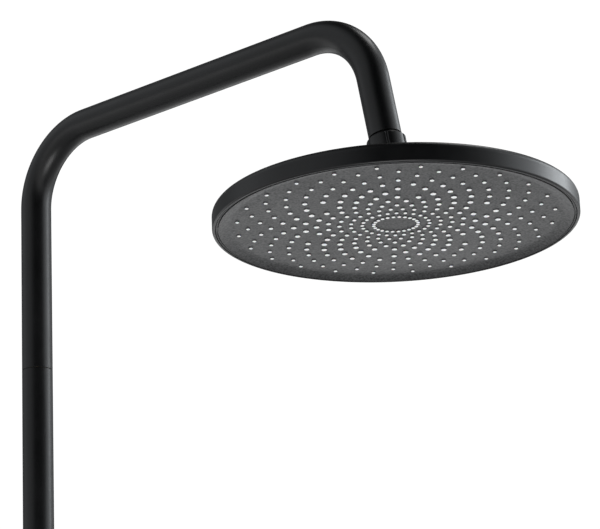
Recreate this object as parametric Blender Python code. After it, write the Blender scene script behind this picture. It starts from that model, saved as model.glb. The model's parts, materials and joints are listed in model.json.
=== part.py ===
"""Rainfall shower column: a wall bracket holds a straight riser pipe, a bent arm swivels on it, and a
round rain head hangs from a ball joint at the arm's end. Metres, +Z up, +X away from the wall.
The origin is the middle of the wall plate's back face."""

import math

import bmesh
import bpy
from mathutils import Matrix, Vector

# Clearance between neighbouring pieces.
GAP = 0.0003

# Pipes.
PIPE_RADIUS = 0.0115
PIPE_WALL = 0.0010
BEND_RADIUS = 0.0550
RISER_FROM_WALL = 0.0550
ARM_REACH = 0.3250  # from the riser's axis to the corner where the arm's axis meets the outlet's axis
OUTLET_SLANT = math.radians(10.0)
OUTLET_LENGTH = 0.0920  # from that corner to the end of the arm pipe
ARM_HEIGHT = 0.3600  # of the arm's axis over the wall bracket
JOINT_BELOW_ARM = 0.1835
INLET_BELOW_ARM = 0.8500

# Wall bracket.
PLATE_THICKNESS = 0.0040
PLATE_HOLE_RADIUS = 0.0026
BOSS_RADIUS = 0.0065
BOSS_LENGTH = 0.0180
ROSETTE_RADIUS = 0.0260
ROSETTE_DEPTH = 0.0110
ROSETTE_WALL = 0.0015
PLATE_MARGIN = 0.0045  # between the plate's edge and the inside of the rosette
POST_WALL = 0.0022
COLLAR_WALL = 0.0032
COLLAR_HEIGHT = 0.0300
LINER_WALL = 0.0012
GRUB_RADIUS = 0.0020
GRUB_SOCKET_RADIUS = 0.0010

# Turned fittings that sit inside the pipes.
SPIGOT_WALL = 0.0027
RING_SECTION = 0.0013  # thickness of an O-ring, squeezed
SLEEVE_BELOW_JOINT = 0.0300
SLEEVE_ABOVE_JOINT = 0.0380
STOP_SLOT_DEPTH = 0.0014
STOP_SLOT_HEIGHT = 0.0055
SWIVEL_EACH_WAY = math.radians(45.0)

# Union at the foot of the riser.
TAIL_INSERT = 0.0160
TAIL_NECK = 0.0140
TAIL_FLANGE = 0.0024
TAIL_FLANGE_PROUD = 0.0016
WASHER_THICKNESS = 0.0020
UNION_LIP = 0.0030
UNION_WALL = 0.0030
UNION_THREAD_DEPTH = 0.0095

# Outlet end of the arm.
OUTLET_INSERT = 0.0180
THREAD_RADIUS = 0.0104
THREAD_LENGTH = 0.0107
OUTLET_BORE = 0.0058
OUTLET_SHOULDER_GAP = 0.0008  # the dark joint between the pipe's end and the nut
SCREEN_RADIUS = 0.0072
SCREEN_THICKNESS = 0.0014
FILTER_WASHER_THICKNESS = 0.0024
LIMITER_RADIUS = 0.0059
LIMITER_THICKNESS = 0.0024
LIMITER_ORIFICE = 0.0016
LIMITER_FLOOR = 0.0012

# Ball joint.
BALL_RADIUS = 0.0100
BALL_BORE = 0.0040
BALL_NECK_RADIUS = 0.0060
BALL_NECK_LENGTH = 0.0036  # from the ball's surface to the nut
NUT_WALL = 0.0029
NUT_CHAMFER = 0.0022
NUT_FLUTES = 6
NUT_FLUTE_DEPTH = 0.0006
NUT_FLUTE_WIDTH = 0.0022
NUT_FLUTE_PHASE = math.radians(10.0)
LINER_BALL_WALL = 0.0008
LINER_BALL_HALF_ANGLE = math.radians(6.0)
LIP_TOP_ANGLE = math.radians(58.0)  # from the socket's axis to the mouth of the retaining ring
LIP_LOW_ANGLE = math.radians(64.0)
SOCKET_WALL = 0.0016
SOCKET_FLOOR = 0.0009
RETAINER_WALL = 0.0027
SEAL_WIDTH = 0.0024
SEAL_SETBACK = 0.0008
FLANGE_THICKNESS = 0.0018
FLANGE_PROUD = 0.0010
GASKET_THICKNESS = 0.0013
SHANK_RADIUS = 0.0090
LOCKNUT_THICKNESS = 0.0040
LOCKNUT_WALL = 0.0040

# Rain head.
HEAD_RADIUS = 0.1240
RIM_BOTTOM = -0.0017  # of the rim's lower edge, from the middle of the face
RIM_LOWER_FILLET = 0.0024
RIM_UPPER_FILLET = 0.0054
SHELL_WALL = 0.0022
CROWN_MARGIN = 0.0020  # of the flat land in the middle of the back, beyond the hat under it
CROWN_RISE = 0.0083
FACE_DISH = 0.094  # rise of the face per metre of radius squared
FACE_BAND_WIDTH = 0.0100  # of the sloped band between the flat field and the edge
FACE_LIP_WIDTH = 0.0018
FACE_BACK = 0.0026
MAT_THICKNESS = 0.0015
CHAMBER_DEPTH = 0.0036
CHAMBER_WALL = 0.0020
CHAMBER_SEAL_WIDTH = 0.0030
CHAMBER_OVERHANG = 0.0005  # of the chamber plate beyond the mat
CHAMBER_HEADROOM = 0.0005
HAT_RADIUS = 0.0240
SCREW_CIRCLE = 0.0611
SCREW_COUNT = 6
SCREW_PHASE = math.radians(17.3)
SCREW_SHANK_RADIUS = 0.0015
SCREW_HEAD_RADIUS = 0.0030
SCREW_HEAD_HEIGHT = 0.0018
SCREW_DRIVE_RADIUS = 0.0012
SCREW_BOSS_WALL = 0.0022

# Facets round a turned piece.
HEAD_FACETS = 56
CHAMBER_FACETS = 36
PIPE_FACETS = 24
BALL_FACETS = 28
RING_FACETS = 16
SCREW_FACETS = 12

# Sizes that follow from those above: bracket and pipes.
POST_BORE = BOSS_RADIUS + GAP
POST_RADIUS = POST_BORE + POST_WALL
PLATE_RADIUS = ROSETTE_RADIUS - ROSETTE_WALL - PLATE_MARGIN
PLATE_HOLE_OFFSET = (POST_RADIUS + PLATE_RADIUS) / 2
PIPE_BORE = PIPE_RADIUS - PIPE_WALL
SPIGOT_RADIUS = PIPE_BORE - GAP
SPIGOT_BORE = SPIGOT_RADIUS - SPIGOT_WALL
GROOVE_RADIUS = PIPE_BORE - RING_SECTION - 2 * GAP
JOINT_HEIGHT = ARM_HEIGHT - JOINT_BELOW_ARM
INLET_HEIGHT = ARM_HEIGHT - INLET_BELOW_ARM

# Nut and ball, measured up the outlet's axis from the centre of the ball.
THREAD_BORE = THREAD_RADIUS + GAP
NUT_RADIUS = THREAD_BORE + NUT_WALL
NUT_LOW = math.sqrt(BALL_RADIUS**2 - BALL_NECK_RADIUS**2) + BALL_NECK_LENGTH
LIMITER_LOW = NUT_LOW + LIMITER_FLOOR
THREAD_FLOOR = LIMITER_LOW + LIMITER_THICKNESS + GAP
THREAD_LOW = THREAD_FLOOR + FILTER_WASHER_THICKNESS + 2 * GAP
OUTLET_END = THREAD_LOW + THREAD_LENGTH + GAP
PIVOT_ALONG = OUTLET_LENGTH + OUTLET_END
PIVOT = Vector((
    RISER_FROM_WALL + ARM_REACH + PIVOT_ALONG * math.sin(OUTLET_SLANT),
    0.0,
    ARM_HEIGHT - PIVOT_ALONG * math.cos(OUTLET_SLANT),
))

# Ball joint.
LINER_INNER = BALL_RADIUS + GAP
LINER_OUTER = LINER_INNER + LINER_BALL_WALL
CAVITY_RADIUS = LINER_OUTER + GAP
SOCKET_RADIUS = CAVITY_RADIUS + SOCKET_WALL
RETAINER_BORE = SOCKET_RADIUS + GAP
RETAINER_RADIUS = RETAINER_BORE + RETAINER_WALL
FLANGE_RADIUS = RETAINER_RADIUS + FLANGE_PROUD

# Rain head, measured up from the middle of its face.
SHELL_INNER_RADIUS = HEAD_RADIUS - SHELL_WALL
SHELL_BORE = SHANK_RADIUS + GAP
FACE_RADIUS = SHELL_INNER_RADIUS - GAP
FACE_FIELD_RADIUS = FACE_RADIUS - FACE_BAND_WIDTH
MAT_BOTTOM = FACE_BACK + GAP
MAT_TOP = MAT_BOTTOM + MAT_THICKNESS
CHAMBER_BOTTOM = MAT_TOP + CHAMBER_DEPTH
CHAMBER_TOP = CHAMBER_BOTTOM + CHAMBER_WALL
CHAMBER_RADIUS = FACE_FIELD_RADIUS + CHAMBER_OVERHANG
RIM_TOP = CHAMBER_TOP + CHAMBER_HEADROOM + SHELL_WALL
CROWN_TOP = RIM_TOP + CROWN_RISE
CROWN_RADIUS = HAT_RADIUS + CROWN_MARGIN
HAT_TOP = CROWN_TOP - SHELL_WALL - GAP
HAT_UNDERSIDE = HAT_TOP - CHAMBER_WALL
SCREW_HOLE_RADIUS = SCREW_SHANK_RADIUS + GAP
GASKET_BOTTOM = CROWN_TOP + GAP
FLANGE_BOTTOM = GASKET_BOTTOM + GASKET_THICKNESS + GAP
PIVOT_ABOVE_FACE = FLANGE_BOTTOM + SOCKET_FLOOR + CAVITY_RADIUS

MATERIALS = {
    "matte_black": ((0.018, 0.018, 0.019), 0.42, 0.35),
    "face_grey": ((0.12, 0.12, 0.125), 0.38, 0.25),
    "nozzle_silicone": ((0.78, 0.79, 0.79), 0.55, 0.0),
    "brass": ((0.72, 0.53, 0.24), 0.30, 1.0),
    "black_rubber": ((0.015, 0.015, 0.015), 0.70, 0.0),
    "steel": ((0.55, 0.55, 0.56), 0.30, 1.0),
    "white_acetal": ((0.80, 0.80, 0.78), 0.45, 0.0),
}


def clear_scene():
    """Removes every object of the startup scene."""
    for obj in list(bpy.data.objects):
        bpy.data.objects.remove(obj, do_unlink=True)


def make_materials():
    """One Principled material for each finish."""
    made = {}
    for name, (colour, roughness, metallic) in MATERIALS.items():
        material = bpy.data.materials.new(name)
        material.use_nodes = True
        shader = material.node_tree.nodes["Principled BSDF"]
        shader.inputs["Base Color"].default_value = (*colour, 1.0)
        shader.inputs["Roughness"].default_value = roughness
        shader.inputs["Metallic"].default_value = metallic
        made[name] = material
    return made


def add_empty(name, location, rotation=(0.0, 0.0, 0.0)):
    """An axis that pieces are parented to."""
    empty = bpy.data.objects.new(name, None)
    empty.location = location
    empty.rotation_euler = rotation
    empty.empty_display_size = 0.02
    bpy.context.scene.collection.objects.link(empty)
    return empty


def add_object(name, mesh_data, parent, material=None, hidden=False):
    """Links a bmesh as an object, shaded smooth up to 40 degrees."""
    bmesh.ops.recalc_face_normals(mesh_data, faces=mesh_data.faces)
    mesh = bpy.data.meshes.new(name)
    mesh_data.to_mesh(mesh)
    mesh_data.free()
    obj = bpy.data.objects.new(name, mesh)
    obj.parent = parent
    bpy.context.scene.collection.objects.link(obj)
    if hidden:
        obj.hide_render = True
        obj.display_type = "WIRE"
    else:
        mesh.materials.append(material)
        mesh.shade_smooth()
        mesh.set_sharp_from_angle(angle=math.radians(40.0))
    return obj


def arc(centre, radius, start, end, steps):
    """Points (r, z) round a centre; angles are measured from +r towards +z."""
    return [
        (
            centre[0] + radius * math.cos(start + (end - start) * i / steps),
            centre[1] + radius * math.sin(start + (end - start) * i / steps),
        )
        for i in range(steps + 1)
    ]


def revolve(profile, facets, angle=2.0 * math.pi):
    """A closed outline of (r, z) points, turned about Z. A part turn is closed by its two end faces."""
    shape = bmesh.new()
    corners = [shape.verts.new((r, 0.0, z)) for r, z in profile]
    full = abs(angle - 2.0 * math.pi) < 1e-9
    if full:
        geometry = corners + [
            shape.edges.new((corners[i], corners[(i + 1) % len(corners)])) for i in range(len(corners))
        ]
    else:
        face = shape.faces.new(corners)
        geometry = corners + list(face.edges) + [face]
    bmesh.ops.spin(
        shape,
        geom=geometry,
        cent=(0.0, 0.0, 0.0),
        axis=(0.0, 0.0, 1.0),
        dvec=(0.0, 0.0, 0.0),
        angle=angle,
        steps=facets,
        use_merge=full,
    )
    bmesh.ops.remove_doubles(shape, verts=shape.verts, dist=1e-6)
    flat = [face for face in shape.faces if face.calc_area() < 1e-12]
    bmesh.ops.delete(shape, geom=flat, context="FACES")
    on_axis = [e for e in shape.edges if not e.link_faces]
    bmesh.ops.delete(shape, geom=on_axis, context="EDGES")
    return shape


def cylinder(radius, low, high, facets):
    """A solid cylinder about Z."""
    return revolve([(0.0, high), (radius, high), (radius, low), (0.0, low)], facets)


def tube(outer, inner, low, high, facets):
    """A plain ring about Z."""
    return revolve([(inner, high), (outer, high), (outer, low), (inner, low)], facets)


def ring_of(section_radius, radius, height, facets=RING_FACETS, sides=6):
    """An O-ring about Z."""
    section = arc((radius, height), section_radius, 0.0, -2.0 * math.pi, sides)[:-1]
    return revolve(section, facets)


def placed(shape, matrix):
    """The same shape, moved."""
    bmesh.ops.transform(shape, matrix=matrix, verts=shape.verts)
    return shape


def round_pattern(make, count, radius, phase=0.0):
    """Copies of a shape about Z, joined in one mesh."""
    joined = bmesh.new()
    for i in range(count):
        turn = Matrix.Rotation(phase + 2.0 * math.pi * i / count, 4, "Z")
        copy = placed(make(), turn @ Matrix.Translation((radius, 0.0, 0.0)))
        holder = bpy.data.meshes.new("copy")
        copy.to_mesh(holder)
        copy.free()
        joined.from_mesh(holder)
        bpy.data.meshes.remove(holder)
    return joined


def boolean(target, tool, operation="DIFFERENCE"):
    """Cuts or joins with a hidden helper."""
    modifier = target.modifiers.new(tool.name, "BOOLEAN")
    modifier.operation = operation
    modifier.object = tool
    modifier.solver = "EXACT"


def grub_screw(name, parent, material, length, matrix):
    """A headless screw along Z with a socket in its upper end."""
    depth = 0.6 * length
    profile = [
        (0.0, length - depth),
        (GRUB_SOCKET_RADIUS, length - depth),
        (GRUB_SOCKET_RADIUS, length),
        (GRUB_RADIUS, length),
        (GRUB_RADIUS, 0.0),
        (0.0, 0.0),
    ]
    return add_object(name, placed(revolve(profile, SCREW_FACETS), matrix), parent, material)


def spigot_profile(low, high, bore, ring_heights):
    """A turned tube that fills a pipe's bore, with a groove for each O-ring."""
    half = RING_SECTION / 2 + GAP
    outer = [(SPIGOT_RADIUS, high)]
    for height in sorted(ring_heights, reverse=True):
        outer += [
            (SPIGOT_RADIUS, height + half),
            (GROOVE_RADIUS, height + half),
            (GROOVE_RADIUS, height - half),
            (SPIGOT_RADIUS, height - half),
        ]
    return [(bore, high)] + outer + [(SPIGOT_RADIUS, low), (bore, low)]


def pipe_ring(name, parent, material, height):
    """An O-ring between a spigot and the pipe round it."""
    radius = GROOVE_RADIUS + GAP + RING_SECTION / 2
    return add_object(name, ring_of(RING_SECTION / 2, radius, height), parent, material)


def build_wall_bracket(wall, finish):
    """Plate, rosette, post with its collar, and their screws. Local Z of the wall axis is world +X."""
    plate = add_object(
        "wall_plate",
        revolve(
            [
                (0.0, PLATE_THICKNESS + BOSS_LENGTH),
                (BOSS_RADIUS, PLATE_THICKNESS + BOSS_LENGTH),
                (BOSS_RADIUS, PLATE_THICKNESS),
                (PLATE_RADIUS, PLATE_THICKNESS),
                (PLATE_RADIUS, 0.0),
                (0.0, 0.0),
            ],
            PIPE_FACETS,
        ),
        wall,
        finish["steel"],
    )
    holes = round_pattern(
        lambda: cylinder(PLATE_HOLE_RADIUS, -PLATE_THICKNESS, 2 * PLATE_THICKNESS, SCREW_FACETS),
        2,
        PLATE_HOLE_OFFSET,
        math.pi / 2,
    )
    boolean(plate, add_object("wall_plate_holes", holes, wall, hidden=True))

    rosette_bore = POST_RADIUS + GAP
    add_object(
        "rosette",
        revolve(
            [
                (rosette_bore, ROSETTE_DEPTH),
                (ROSETTE_RADIUS - ROSETTE_WALL, ROSETTE_DEPTH),
                (ROSETTE_RADIUS, ROSETTE_DEPTH - ROSETTE_WALL),
                (ROSETTE_RADIUS, 0.0),
                (ROSETTE_RADIUS - ROSETTE_WALL, 0.0),
                (ROSETTE_RADIUS - ROSETTE_WALL, ROSETTE_DEPTH - ROSETTE_WALL),
                (rosette_bore, ROSETTE_DEPTH - ROSETTE_WALL),
            ],
            PIPE_FACETS + 8,
        ),
        wall,
        finish["matte_black"],
    )

    collar_bore = PIPE_RADIUS + LINER_WALL + 2 * GAP
    collar_radius = collar_bore + COLLAR_WALL
    post_back = PLATE_THICKNESS + GAP
    boss_end = PLATE_THICKNESS + BOSS_LENGTH + GAP
    post_end = RISER_FROM_WALL - collar_bore - GAP
    arm = add_object(
        "bracket_arm",
        revolve(
            [
                (0.0, post_end),
                (POST_RADIUS, post_end),
                (POST_RADIUS, post_back),
                (POST_BORE, post_back),
                (POST_BORE, boss_end),
                (0.0, boss_end),
            ],
            PIPE_FACETS,
        ),
        wall,
        finish["matte_black"],
    )
    half = COLLAR_HEIGHT / 2
    upright = Matrix.Translation((0.0, 0.0, RISER_FROM_WALL)) @ Matrix.Rotation(-math.pi / 2, 4, "Y")
    ring = placed(tube(collar_radius, collar_bore, -half, half, BALL_FACETS), upright)
    boolean(arm, add_object("collar_body", ring, wall, hidden=True), "UNION")
    grub_bore = GRUB_RADIUS + GAP
    side = Matrix.Translation((0.0, 0.0, RISER_FROM_WALL)) @ Matrix.Rotation(-math.pi / 2, 4, "X")
    side_hole = placed(cylinder(grub_bore, PIPE_RADIUS, 2 * collar_radius, SCREW_FACETS), side)
    boolean(arm, add_object("collar_screw_hole", side_hole, wall, hidden=True))
    under_height = PLATE_THICKNESS + 0.75 * BOSS_LENGTH
    under = Matrix.Translation((0.0, 0.0, under_height)) @ Matrix.Rotation(math.pi / 2, 4, "Y")
    under_hole = placed(
        cylinder(grub_bore, BOSS_RADIUS - GAP, 2 * POST_RADIUS, SCREW_FACETS), under
    )
    boolean(arm, add_object("post_screw_hole", under_hole, wall, hidden=True))

    collar_screw_start = PIPE_RADIUS + LINER_WALL + 2 * GAP
    grub_screw(
        "collar_grub_screw",
        wall,
        finish["steel"],
        collar_radius - collar_screw_start - GAP,
        side @ Matrix.Translation((0.0, 0.0, collar_screw_start)),
    )
    grub_screw(
        "post_grub_screw",
        wall,
        finish["steel"],
        POST_WALL - GAP,
        under @ Matrix.Translation((0.0, 0.0, POST_BORE)),
    )
    liner = tube(PIPE_RADIUS + GAP + LINER_WALL, PIPE_RADIUS + GAP, -half, half, BALL_FACETS)
    add_object("collar_liner", placed(liner, upright), wall, finish["white_acetal"])


def build_riser(riser, finish):
    """Riser pipe, its foot fitting and union, and the sleeve that the arm turns on."""
    nut_low = INLET_HEIGHT
    washer_low = nut_low + UNION_THREAD_DEPTH
    flange_low = washer_low + WASHER_THICKNESS + GAP
    neck_low = flange_low + TAIL_FLANGE
    neck_high = neck_low + TAIL_NECK
    pipe_low = neck_high + GAP
    flange_radius = PIPE_RADIUS + TAIL_FLANGE_PROUD
    thread_bore = flange_radius + GAP

    add_object(
        "riser_pipe",
        tube(PIPE_RADIUS, PIPE_BORE, pipe_low, JOINT_HEIGHT - GAP / 2, PIPE_FACETS),
        riser,
        finish["matte_black"],
    )
    ring_height = pipe_low + 0.6 * TAIL_INSERT
    insert = spigot_profile(pipe_low, pipe_low + TAIL_INSERT, SPIGOT_BORE, [ring_height])
    add_object(
        "tail_piece",
        revolve(
            insert[:-2]
            + [
                (SPIGOT_RADIUS, neck_high),
                (PIPE_RADIUS, neck_high),
                (PIPE_RADIUS, neck_low),
                (flange_radius, neck_low),
                (flange_radius, flange_low),
                (SPIGOT_BORE, flange_low),
            ],
            PIPE_FACETS,
        ),
        riser,
        finish["brass"],
    )
    pipe_ring("tail_o_ring", riser, finish["black_rubber"], ring_height)
    washer = tube(flange_radius, SPIGOT_BORE, washer_low, washer_low + WASHER_THICKNESS, PIPE_FACETS)
    add_object("union_washer", washer, riser, finish["black_rubber"])

    nut_high = neck_low + GAP + UNION_LIP
    across = (thread_bore + UNION_WALL) / math.cos(math.pi / 6)
    nut = add_object(
        "union_nut", cylinder(across, nut_low, nut_high, 6), riser, finish["matte_black"]
    )
    bore = revolve(
        [
            (0.0, nut_high + UNION_LIP),
            (PIPE_RADIUS + GAP, nut_high + UNION_LIP),
            (PIPE_RADIUS + GAP, neck_low + GAP),
            (thread_bore, neck_low + GAP),
            (thread_bore, nut_low - UNION_LIP),
            (0.0, nut_low - UNION_LIP),
        ],
        PIPE_FACETS,
    )
    boolean(nut, add_object("union_nut_bore", bore, riser, hidden=True))

    sleeve_low = JOINT_HEIGHT - SLEEVE_BELOW_JOINT
    sleeve_high = JOINT_HEIGHT + SLEEVE_ABOVE_JOINT
    stop_height = sleeve_high - STOP_SLOT_HEIGHT
    rings = {
        "riser_o_ring": JOINT_HEIGHT - SLEEVE_BELOW_JOINT / 2,
        "swivel_o_ring_lower": JOINT_HEIGHT + 0.25 * SLEEVE_ABOVE_JOINT,
        "swivel_o_ring_upper": JOINT_HEIGHT + 0.5 * SLEEVE_ABOVE_JOINT,
    }
    sleeve = add_object(
        "joint_sleeve",
        revolve(
            spigot_profile(sleeve_low, sleeve_high, SPIGOT_BORE, list(rings.values())), PIPE_FACETS
        ),
        riser,
        finish["brass"],
    )
    for name, height in rings.items():
        pipe_ring(name, riser, finish["black_rubber"], height)
    slot_floor = SPIGOT_RADIUS - STOP_SLOT_DEPTH
    screw_angle = 2.0 * math.asin((GRUB_RADIUS + GAP) / slot_floor)
    sweep = 2.0 * SWIVEL_EACH_WAY + screw_angle
    slot = revolve(
        [
            (slot_floor, stop_height + STOP_SLOT_HEIGHT / 2),
            (PIPE_RADIUS, stop_height + STOP_SLOT_HEIGHT / 2),
            (PIPE_RADIUS, stop_height - STOP_SLOT_HEIGHT / 2),
            (slot_floor, stop_height - STOP_SLOT_HEIGHT / 2),
        ],
        SCREW_FACETS,
        sweep,
    )
    placed(slot, Matrix.Rotation(math.pi - sweep / 2, 4, "Z"))
    boolean(sleeve, add_object("stop_slot", slot, riser, hidden=True))
    return stop_height, slot_floor


def arm_stations():
    """(centre, turn about Y) along the arm pipe's axis, from its foot to its outlet."""
    steps = 7
    first_turn = math.pi / 2
    second_turn = math.pi / 2 - OUTLET_SLANT
    first_leg = BEND_RADIUS * math.tan(first_turn / 2)
    second_leg = BEND_RADIUS * math.tan(second_turn / 2)
    stations = [(Vector((0.0, 0.0, JOINT_HEIGHT + GAP / 2)), 0.0)]
    centre = Vector((BEND_RADIUS, 0.0, ARM_HEIGHT - first_leg))
    for i in range(steps + 1):
        turn = first_turn * i / steps
        offset = Vector((-math.cos(turn), 0.0, math.sin(turn))) * BEND_RADIUS
        stations.append((centre + offset, turn))
    centre = Vector((ARM_REACH - second_leg, 0.0, ARM_HEIGHT - BEND_RADIUS))
    for i in range(steps + 1):
        turn = first_turn + second_turn * i / steps
        offset = Vector((-math.cos(turn), 0.0, math.sin(turn))) * BEND_RADIUS
        stations.append((centre + offset, turn))
    down = Vector((math.sin(OUTLET_SLANT), 0.0, -math.cos(OUTLET_SLANT)))
    end = Vector((ARM_REACH, 0.0, ARM_HEIGHT)) + down * OUTLET_LENGTH
    stations.append((end, first_turn + second_turn))
    return stations


def build_arm(riser, outlet, finish, stop_height, slot_floor):
    """The bent arm pipe, its stop screw and the fittings in its outlet."""
    shape = bmesh.new()
    rows = []
    for centre, turn in arm_stations():
        matrix = Matrix.Translation(centre) @ Matrix.Rotation(turn, 4, "Y")
        row = []
        for radius in (PIPE_RADIUS, PIPE_BORE):
            corners = [
                matrix
                @ Vector((
                    radius * math.cos(2.0 * math.pi * k / PIPE_FACETS),
                    radius * math.sin(2.0 * math.pi * k / PIPE_FACETS),
                    0.0,
                ))
                for k in range(PIPE_FACETS)
            ]
            row.append([shape.verts.new(corner) for corner in corners])
        rows.append(row)
    for k in range(PIPE_FACETS):
        after = (k + 1) % PIPE_FACETS
        for row, following in zip(rows, rows[1:]):
            for ring, next_ring in zip(row, following):
                shape.faces.new((ring[k], ring[after], next_ring[after], next_ring[k]))
        for outer, inner in (rows[0], rows[-1]):
            shape.faces.new((outer[k], outer[after], inner[after], inner[k]))
    arm = add_object("arm_pipe", shape, riser, finish["matte_black"])

    back = Matrix.Translation((0.0, 0.0, stop_height)) @ Matrix.Rotation(-math.pi / 2, 4, "Y")
    hole = placed(
        cylinder(GRUB_RADIUS + GAP, slot_floor, PIPE_RADIUS + PIPE_WALL, SCREW_FACETS), back
    )
    boolean(arm, add_object("stop_screw_hole", hole, riser, hidden=True))
    grub_screw(
        "swivel_stop_screw",
        riser,
        finish["steel"],
        PIPE_RADIUS - slot_floor - 2 * GAP,
        back @ Matrix.Translation((0.0, 0.0, slot_floor + GAP)),
    )

    thread_high = OUTLET_END - GAP
    recess_radius = SCREEN_RADIUS + GAP
    recess_high = THREAD_LOW + SCREEN_THICKNESS + GAP
    ring_height = OUTLET_END + OUTLET_INSERT / 2
    insert = spigot_profile(OUTLET_END, OUTLET_END + OUTLET_INSERT, OUTLET_BORE, [ring_height])
    add_object(
        "arm_outlet",
        revolve(
            insert[:-2]
            + [
                (SPIGOT_RADIUS, thread_high),
                (THREAD_RADIUS, thread_high),
                (THREAD_RADIUS, THREAD_LOW),
                (recess_radius, THREAD_LOW),
                (recess_radius, recess_high),
                (OUTLET_BORE, recess_high),
            ],
            PIPE_FACETS,
        ),
        outlet,
        finish["brass"],
    )
    pipe_ring("outlet_o_ring", outlet, finish["black_rubber"], ring_height)
    screen = revolve(
        [
            (0.0, recess_high - GAP),
            (SCREEN_RADIUS, recess_high - GAP),
            (SCREEN_RADIUS, THREAD_LOW),
            (0.0, THREAD_LOW),
        ],
        RING_FACETS,
    )
    add_object("filter_screen", screen, outlet, finish["steel"])
    washer = tube(THREAD_RADIUS, OUTLET_BORE, THREAD_FLOOR + GAP, THREAD_LOW - GAP, PIPE_FACETS)
    add_object("filter_washer", washer, outlet, finish["black_rubber"])


def ball_outline(inner_angle, outer_angle, radius, steps):
    """Points (r, z) on a sphere at the origin, angles from +Z downwards."""
    return arc((0.0, 0.0), radius, math.pi / 2 - inner_angle, math.pi / 2 - outer_angle, steps)


def build_ball_connector(outlet, finish):
    """The nut that screws on the arm, turned in one piece with the ball, and the flow limiter in it."""
    nut_high = OUTLET_END - OUTLET_SHOULDER_GAP
    pocket_radius = LIMITER_RADIUS + GAP
    cone_high = THREAD_FLOOR + LIMITER_FLOOR
    neck_angle = math.asin(BALL_NECK_RADIUS / BALL_RADIUS)
    mouth_angle = math.pi - math.asin(BALL_BORE / BALL_RADIUS)
    profile = [
        (THREAD_BORE, nut_high),
        (NUT_RADIUS - NUT_CHAMFER, nut_high),
        (NUT_RADIUS, nut_high - NUT_CHAMFER),
        (NUT_RADIUS, cone_high),
        (pocket_radius + NUT_WALL, NUT_LOW),
        (BALL_NECK_RADIUS, NUT_LOW),
    ]
    profile += ball_outline(neck_angle, mouth_angle, BALL_RADIUS, 12)
    profile += [
        (BALL_BORE, LIMITER_LOW),
        (pocket_radius, LIMITER_LOW),
        (pocket_radius, THREAD_FLOOR),
        (THREAD_BORE, THREAD_FLOOR),
    ]
    connector = add_object(
        "ball_connector", revolve(profile, BALL_FACETS), outlet, finish["matte_black"]
    )
    cutter_radius = (NUT_FLUTE_WIDTH**2 / 4 + NUT_FLUTE_DEPTH**2) / (2 * NUT_FLUTE_DEPTH)
    flutes = round_pattern(
        lambda: cylinder(cutter_radius, cone_high + GAP, nut_high + GAP, SCREW_FACETS),
        NUT_FLUTES,
        NUT_RADIUS + cutter_radius - NUT_FLUTE_DEPTH,
        NUT_FLUTE_PHASE,
    )
    boolean(connector, add_object("nut_flutes", flutes, outlet, hidden=True))
    limiter = tube(
        LIMITER_RADIUS, LIMITER_ORIFICE, LIMITER_LOW + GAP / 2, THREAD_FLOOR - GAP / 2, RING_FACETS
    )
    add_object("flow_limiter", limiter, outlet, finish["white_acetal"])
    middle = math.pi / 2
    liner = ball_outline(
        middle - LINER_BALL_HALF_ANGLE, middle + LINER_BALL_HALF_ANGLE, LINER_OUTER, 2
    ) + ball_outline(middle + LINER_BALL_HALF_ANGLE, middle - LINER_BALL_HALF_ANGLE, LINER_INNER, 2)
    add_object("ball_liner", revolve(liner, BALL_FACETS), outlet, finish["white_acetal"])


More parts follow.
